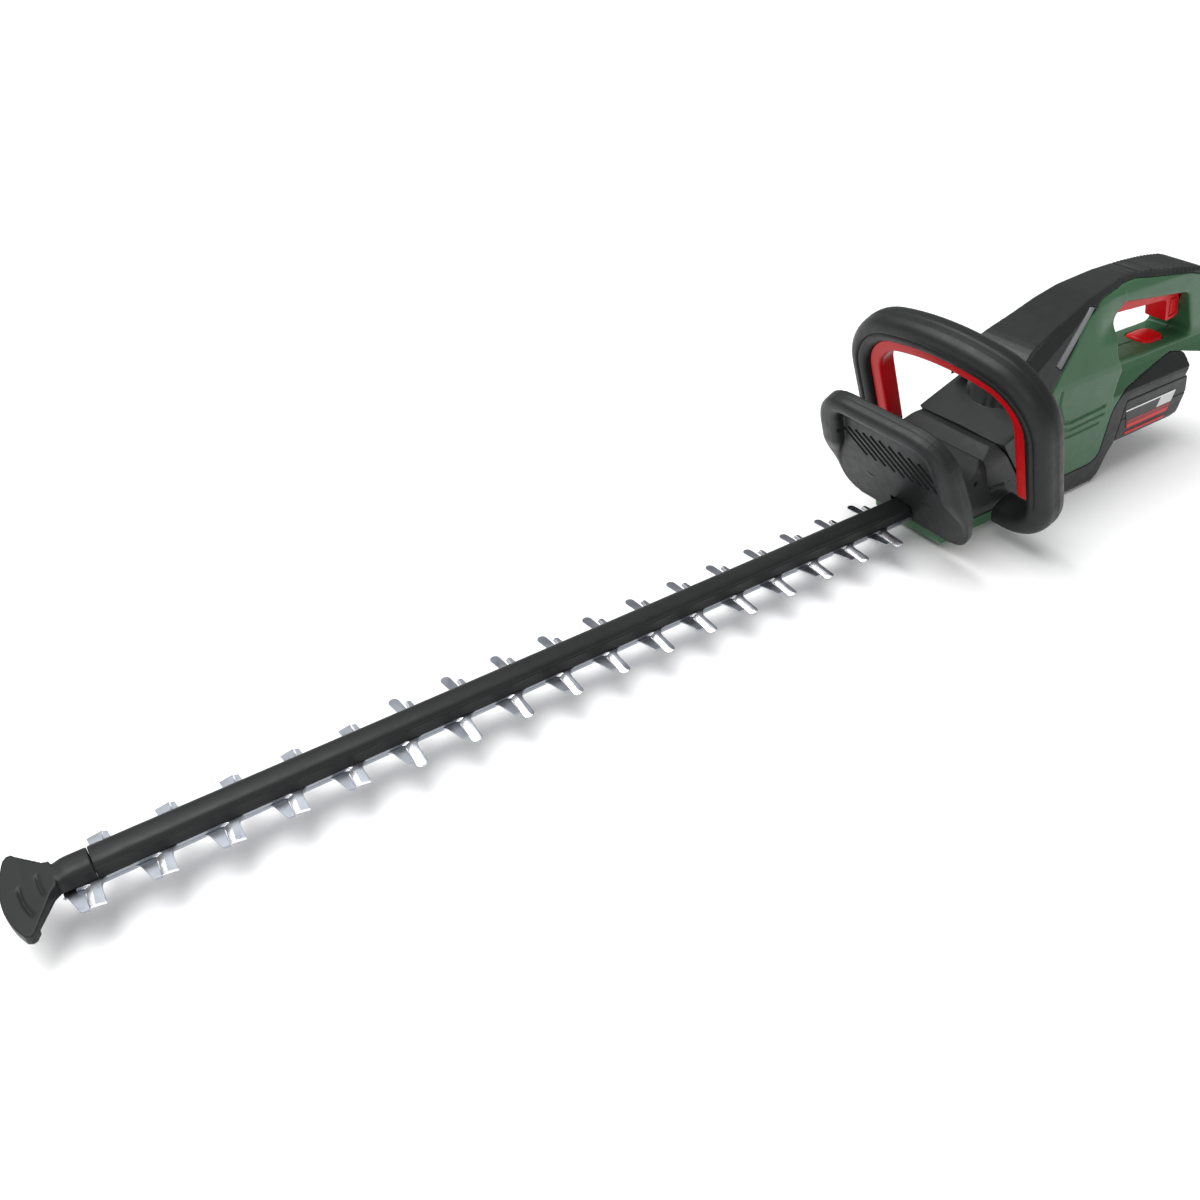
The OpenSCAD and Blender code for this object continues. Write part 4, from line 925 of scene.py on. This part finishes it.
def trigger_lever():
    """Hooked lever with a ring-shaped groove in each side."""
    side = rounded([(842, 150, 2), (850, 163.4, 3), (953, 150.4, 3), (964, 124, 4), (947, 121, 4),
                    (937, 144, 5), (862, 149, 8)])
    lever = bevelled(prism(side, -10, 10, "y"), 2.0, 4)
    groove = rounded([(943, 144, 3), (956, 143, 3), (960.5, 127, 3), (949, 124.5, 3)])
    smaller = rounded([(944.6, 142.6, 2), (955, 141.6, 2), (958.6, 128.6, 2), (950, 126.6, 2)])
    rings = []
    for s in (-1, 1):
        ring = combined(prism(groove, s * 9.1, s * 11, "y"), [prism(smaller, s * 8, s * 12, "y")])
        rings.append(ring)
    lever = combined(lever, rings)
    weighted(crisp(piece("trigger_lever", lever, red_plastic, "trigger", "red_plastic", "trigger"), 40))


def lock_slider():
    """Button with a crowned top, over the collar that holds it in the shells."""
    levels = ((1.4, 100.6), (1.4, 102.9), (0, 103), (0, 107.0), (-0.4, 108.3), (-1.3, 109.1), (-3, 109.5),
              (-6, 109.6), (-10, 109.6))
    rings = [[(x, y, z - (0.016 * y * y if z > 106 else 0)) for x, y in button_plan(grow)]
             for grow, z in levels]
    crisp(piece("lock_slider", loft(rings), red_plastic, "lock_button", "red_plastic", "lock_button"), 50)


# ---------------------------------------------------------------- battery

def battery_label():
    """Blocks of colour on both sides of the pack: a black field with a white line along its top,
    a grey block with a slanted front, and two red stripes."""
    left, right = ((874, 66), (884, 46)), ((950, 66), (946, 46))

    def spot(u, v):
        top = Vector(left[0]).lerp(Vector(right[0]), u)
        low = Vector(left[1]).lerp(Vector(right[1]), u)
        return low.lerp(top, v)

    finishes = (label_black, label_white, label_grey, label_dark_red, label_red)
    blocks = [(0, 0, 1, 1, 0), (0, 0.93, 1, 1, 1), (0.70, 0.45, 1, 0.93, 2), (0.0, 0.24, 1, 0.42, 3),
              (0, 0.0, 1, 0.2, 4)]
    bm = bmesh.new()
    for s in (-1, 1):
        for layer, (u0, v0, u1, v1, index) in enumerate(blocks):
            lift = 0.30 + 0.06 * min(layer, 2)
            ring = [spot(u0, v0), spot(u1, v0), spot(u1, v1), spot(u0, v1)]
            if finishes[index] is label_grey:
                ring[0].x -= 2.45
            inner = [bm.verts.new((p.x, s * (BODY - 0.2), p.y)) for p in ring]
            outer = [bm.verts.new((p.x, s * (BODY + lift), p.y)) for p in ring]
            faces = [bm.faces.new(outer), bm.faces.new(inner)]
            for i in range(4):
                j = (i + 1) % 4
                faces.append(bm.faces.new((inner[i], inner[j], outer[j], outer[i])))
            for f in faces:
                f.material_index = index
    bmesh.ops.recalc_face_normals(bm, faces=bm.faces)
    crisp(piece("battery_label_print", bm, finishes, "battery", "label_film", "battery_labels"))


def battery():
    moulded_copy("battery_tub", "battery_case", battery_plastic, "battery_plastic", "battery")
    moulded_copy("battery_roof", "battery_lid", battery_plastic, "battery_plastic", "battery")
    battery_label()
    trims = joined(*(box(884, 944, s * 37.8, s * 38.5, 39.5, 42.1) for s in (-1, 1)))
    trims = bevelled(trims, 0.3, 2)
    weighted(crisp(piece("battery_stripe", trims, label_red, "battery", "trim_red", "battery_trim")))
    button = bevelled(box(944.4, 962, -11, 11, 79.8, 83.2), 0.9)
    weighted(crisp(piece("battery_latch", button, switch_plastic, "release", "switch_plastic",
                         "battery_release")))


# ---------------------------------------------------------------- stage

def stage():
    floor_mesh = bpy.data.meshes.new("floor")
    bm = bmesh.new()
    bmesh.ops.create_grid(bm, x_segments=1, y_segments=1, size=12)
    bm.to_mesh(floor_mesh)
    bm.free()
    floor = bpy.data.objects.new("floor", floor_mesh)
    bpy.context.scene.collection.objects.link(floor)
    floor.location.z = -0.0006  # just under the tray, so that the two faces don't coincide
    pale = bpy.data.materials.new("pale_floor")
    pale.use_nodes = True
    bsdf = pale.node_tree.nodes["Principled BSDF"]
    bsdf.inputs["Base Color"].default_value = (0.92, 0.92, 0.925, 1)
    bsdf.inputs["Roughness"].default_value = 0.7
    floor_mesh.materials.append(pale)

    world = bpy.data.worlds.new("studio")
    world.use_nodes = True
    sky_dome = world.node_tree.nodes["Background"]
    sky_dome.inputs["Color"].default_value = (1.0, 1.0, 1.0, 1)
    sky_dome.inputs["Strength"].default_value = 0.42
    bpy.context.scene.world = world


def lights():
    def softbox(name, place, aim, size, power):
        data = bpy.data.lights.new(name, "AREA")
        data.shape, data.size, data.size_y, data.energy = "RECTANGLE", size[0], size[1], power
        lamp = bpy.data.objects.new(name, data)
        lamp.location = place
        lamp.rotation_mode = "QUATERNION"
        lamp.rotation_quaternion = (Vector(aim) - Vector(place)).to_track_quat("-Z", "Y")
        bpy.context.scene.collection.objects.link(lamp)

    softbox("key", (-0.35, 0.55, 1.5), (0.25, 0, 0.1), (1.3, 0.7), 12)
    softbox("side", (-0.6, -1.3, 0.9), (0.25, 0, 0.1), (0.9, 0.6), 5)

    data = bpy.data.lights.new("sky", "SUN")
    data.energy, data.angle = 2.6, math.radians(60)
    sky = bpy.data.objects.new("sky", data)
    sky.rotation_euler = (math.radians(-12), math.radians(-22), 0)
    bpy.context.scene.collection.objects.link(sky)


def camera():
    """The photograph's view, fitted to the teeth."""
    data = bpy.data.cameras.new("camera")
    data.lens, data.sensor_width = 31.446, 36
    data.clip_start, data.clip_end = 0.01, 50
    eye = bpy.data.objects.new("camera", data)
    eye.location = (-0.4629, -0.4611, 0.4888)
    eye.rotation_euler = (math.radians(90 - 37.1), 0, math.radians(-34.7))
    bpy.context.scene.collection.objects.link(eye)
    bpy.context.scene.camera = eye
    bpy.context.scene.view_settings.view_transform = "Standard"


stage()
lights()
camera()
finish_cad_nodes()
blades()
bar_cover()
tip_guard()
gearbox_tray()
gearbox_housing()
motor_cowl()
hand_guard()
loop_tube()
loop_bar()
green_shells()
top_cover()
moulded_copy("dock_half_left", "dock_left", black_plastic, "black_plastic", change=swept)
moulded_copy("dock_half_right", "dock_right", black_plastic, "black_plastic", change=swept)
grip()
trigger_lever()
lock_slider()
battery()
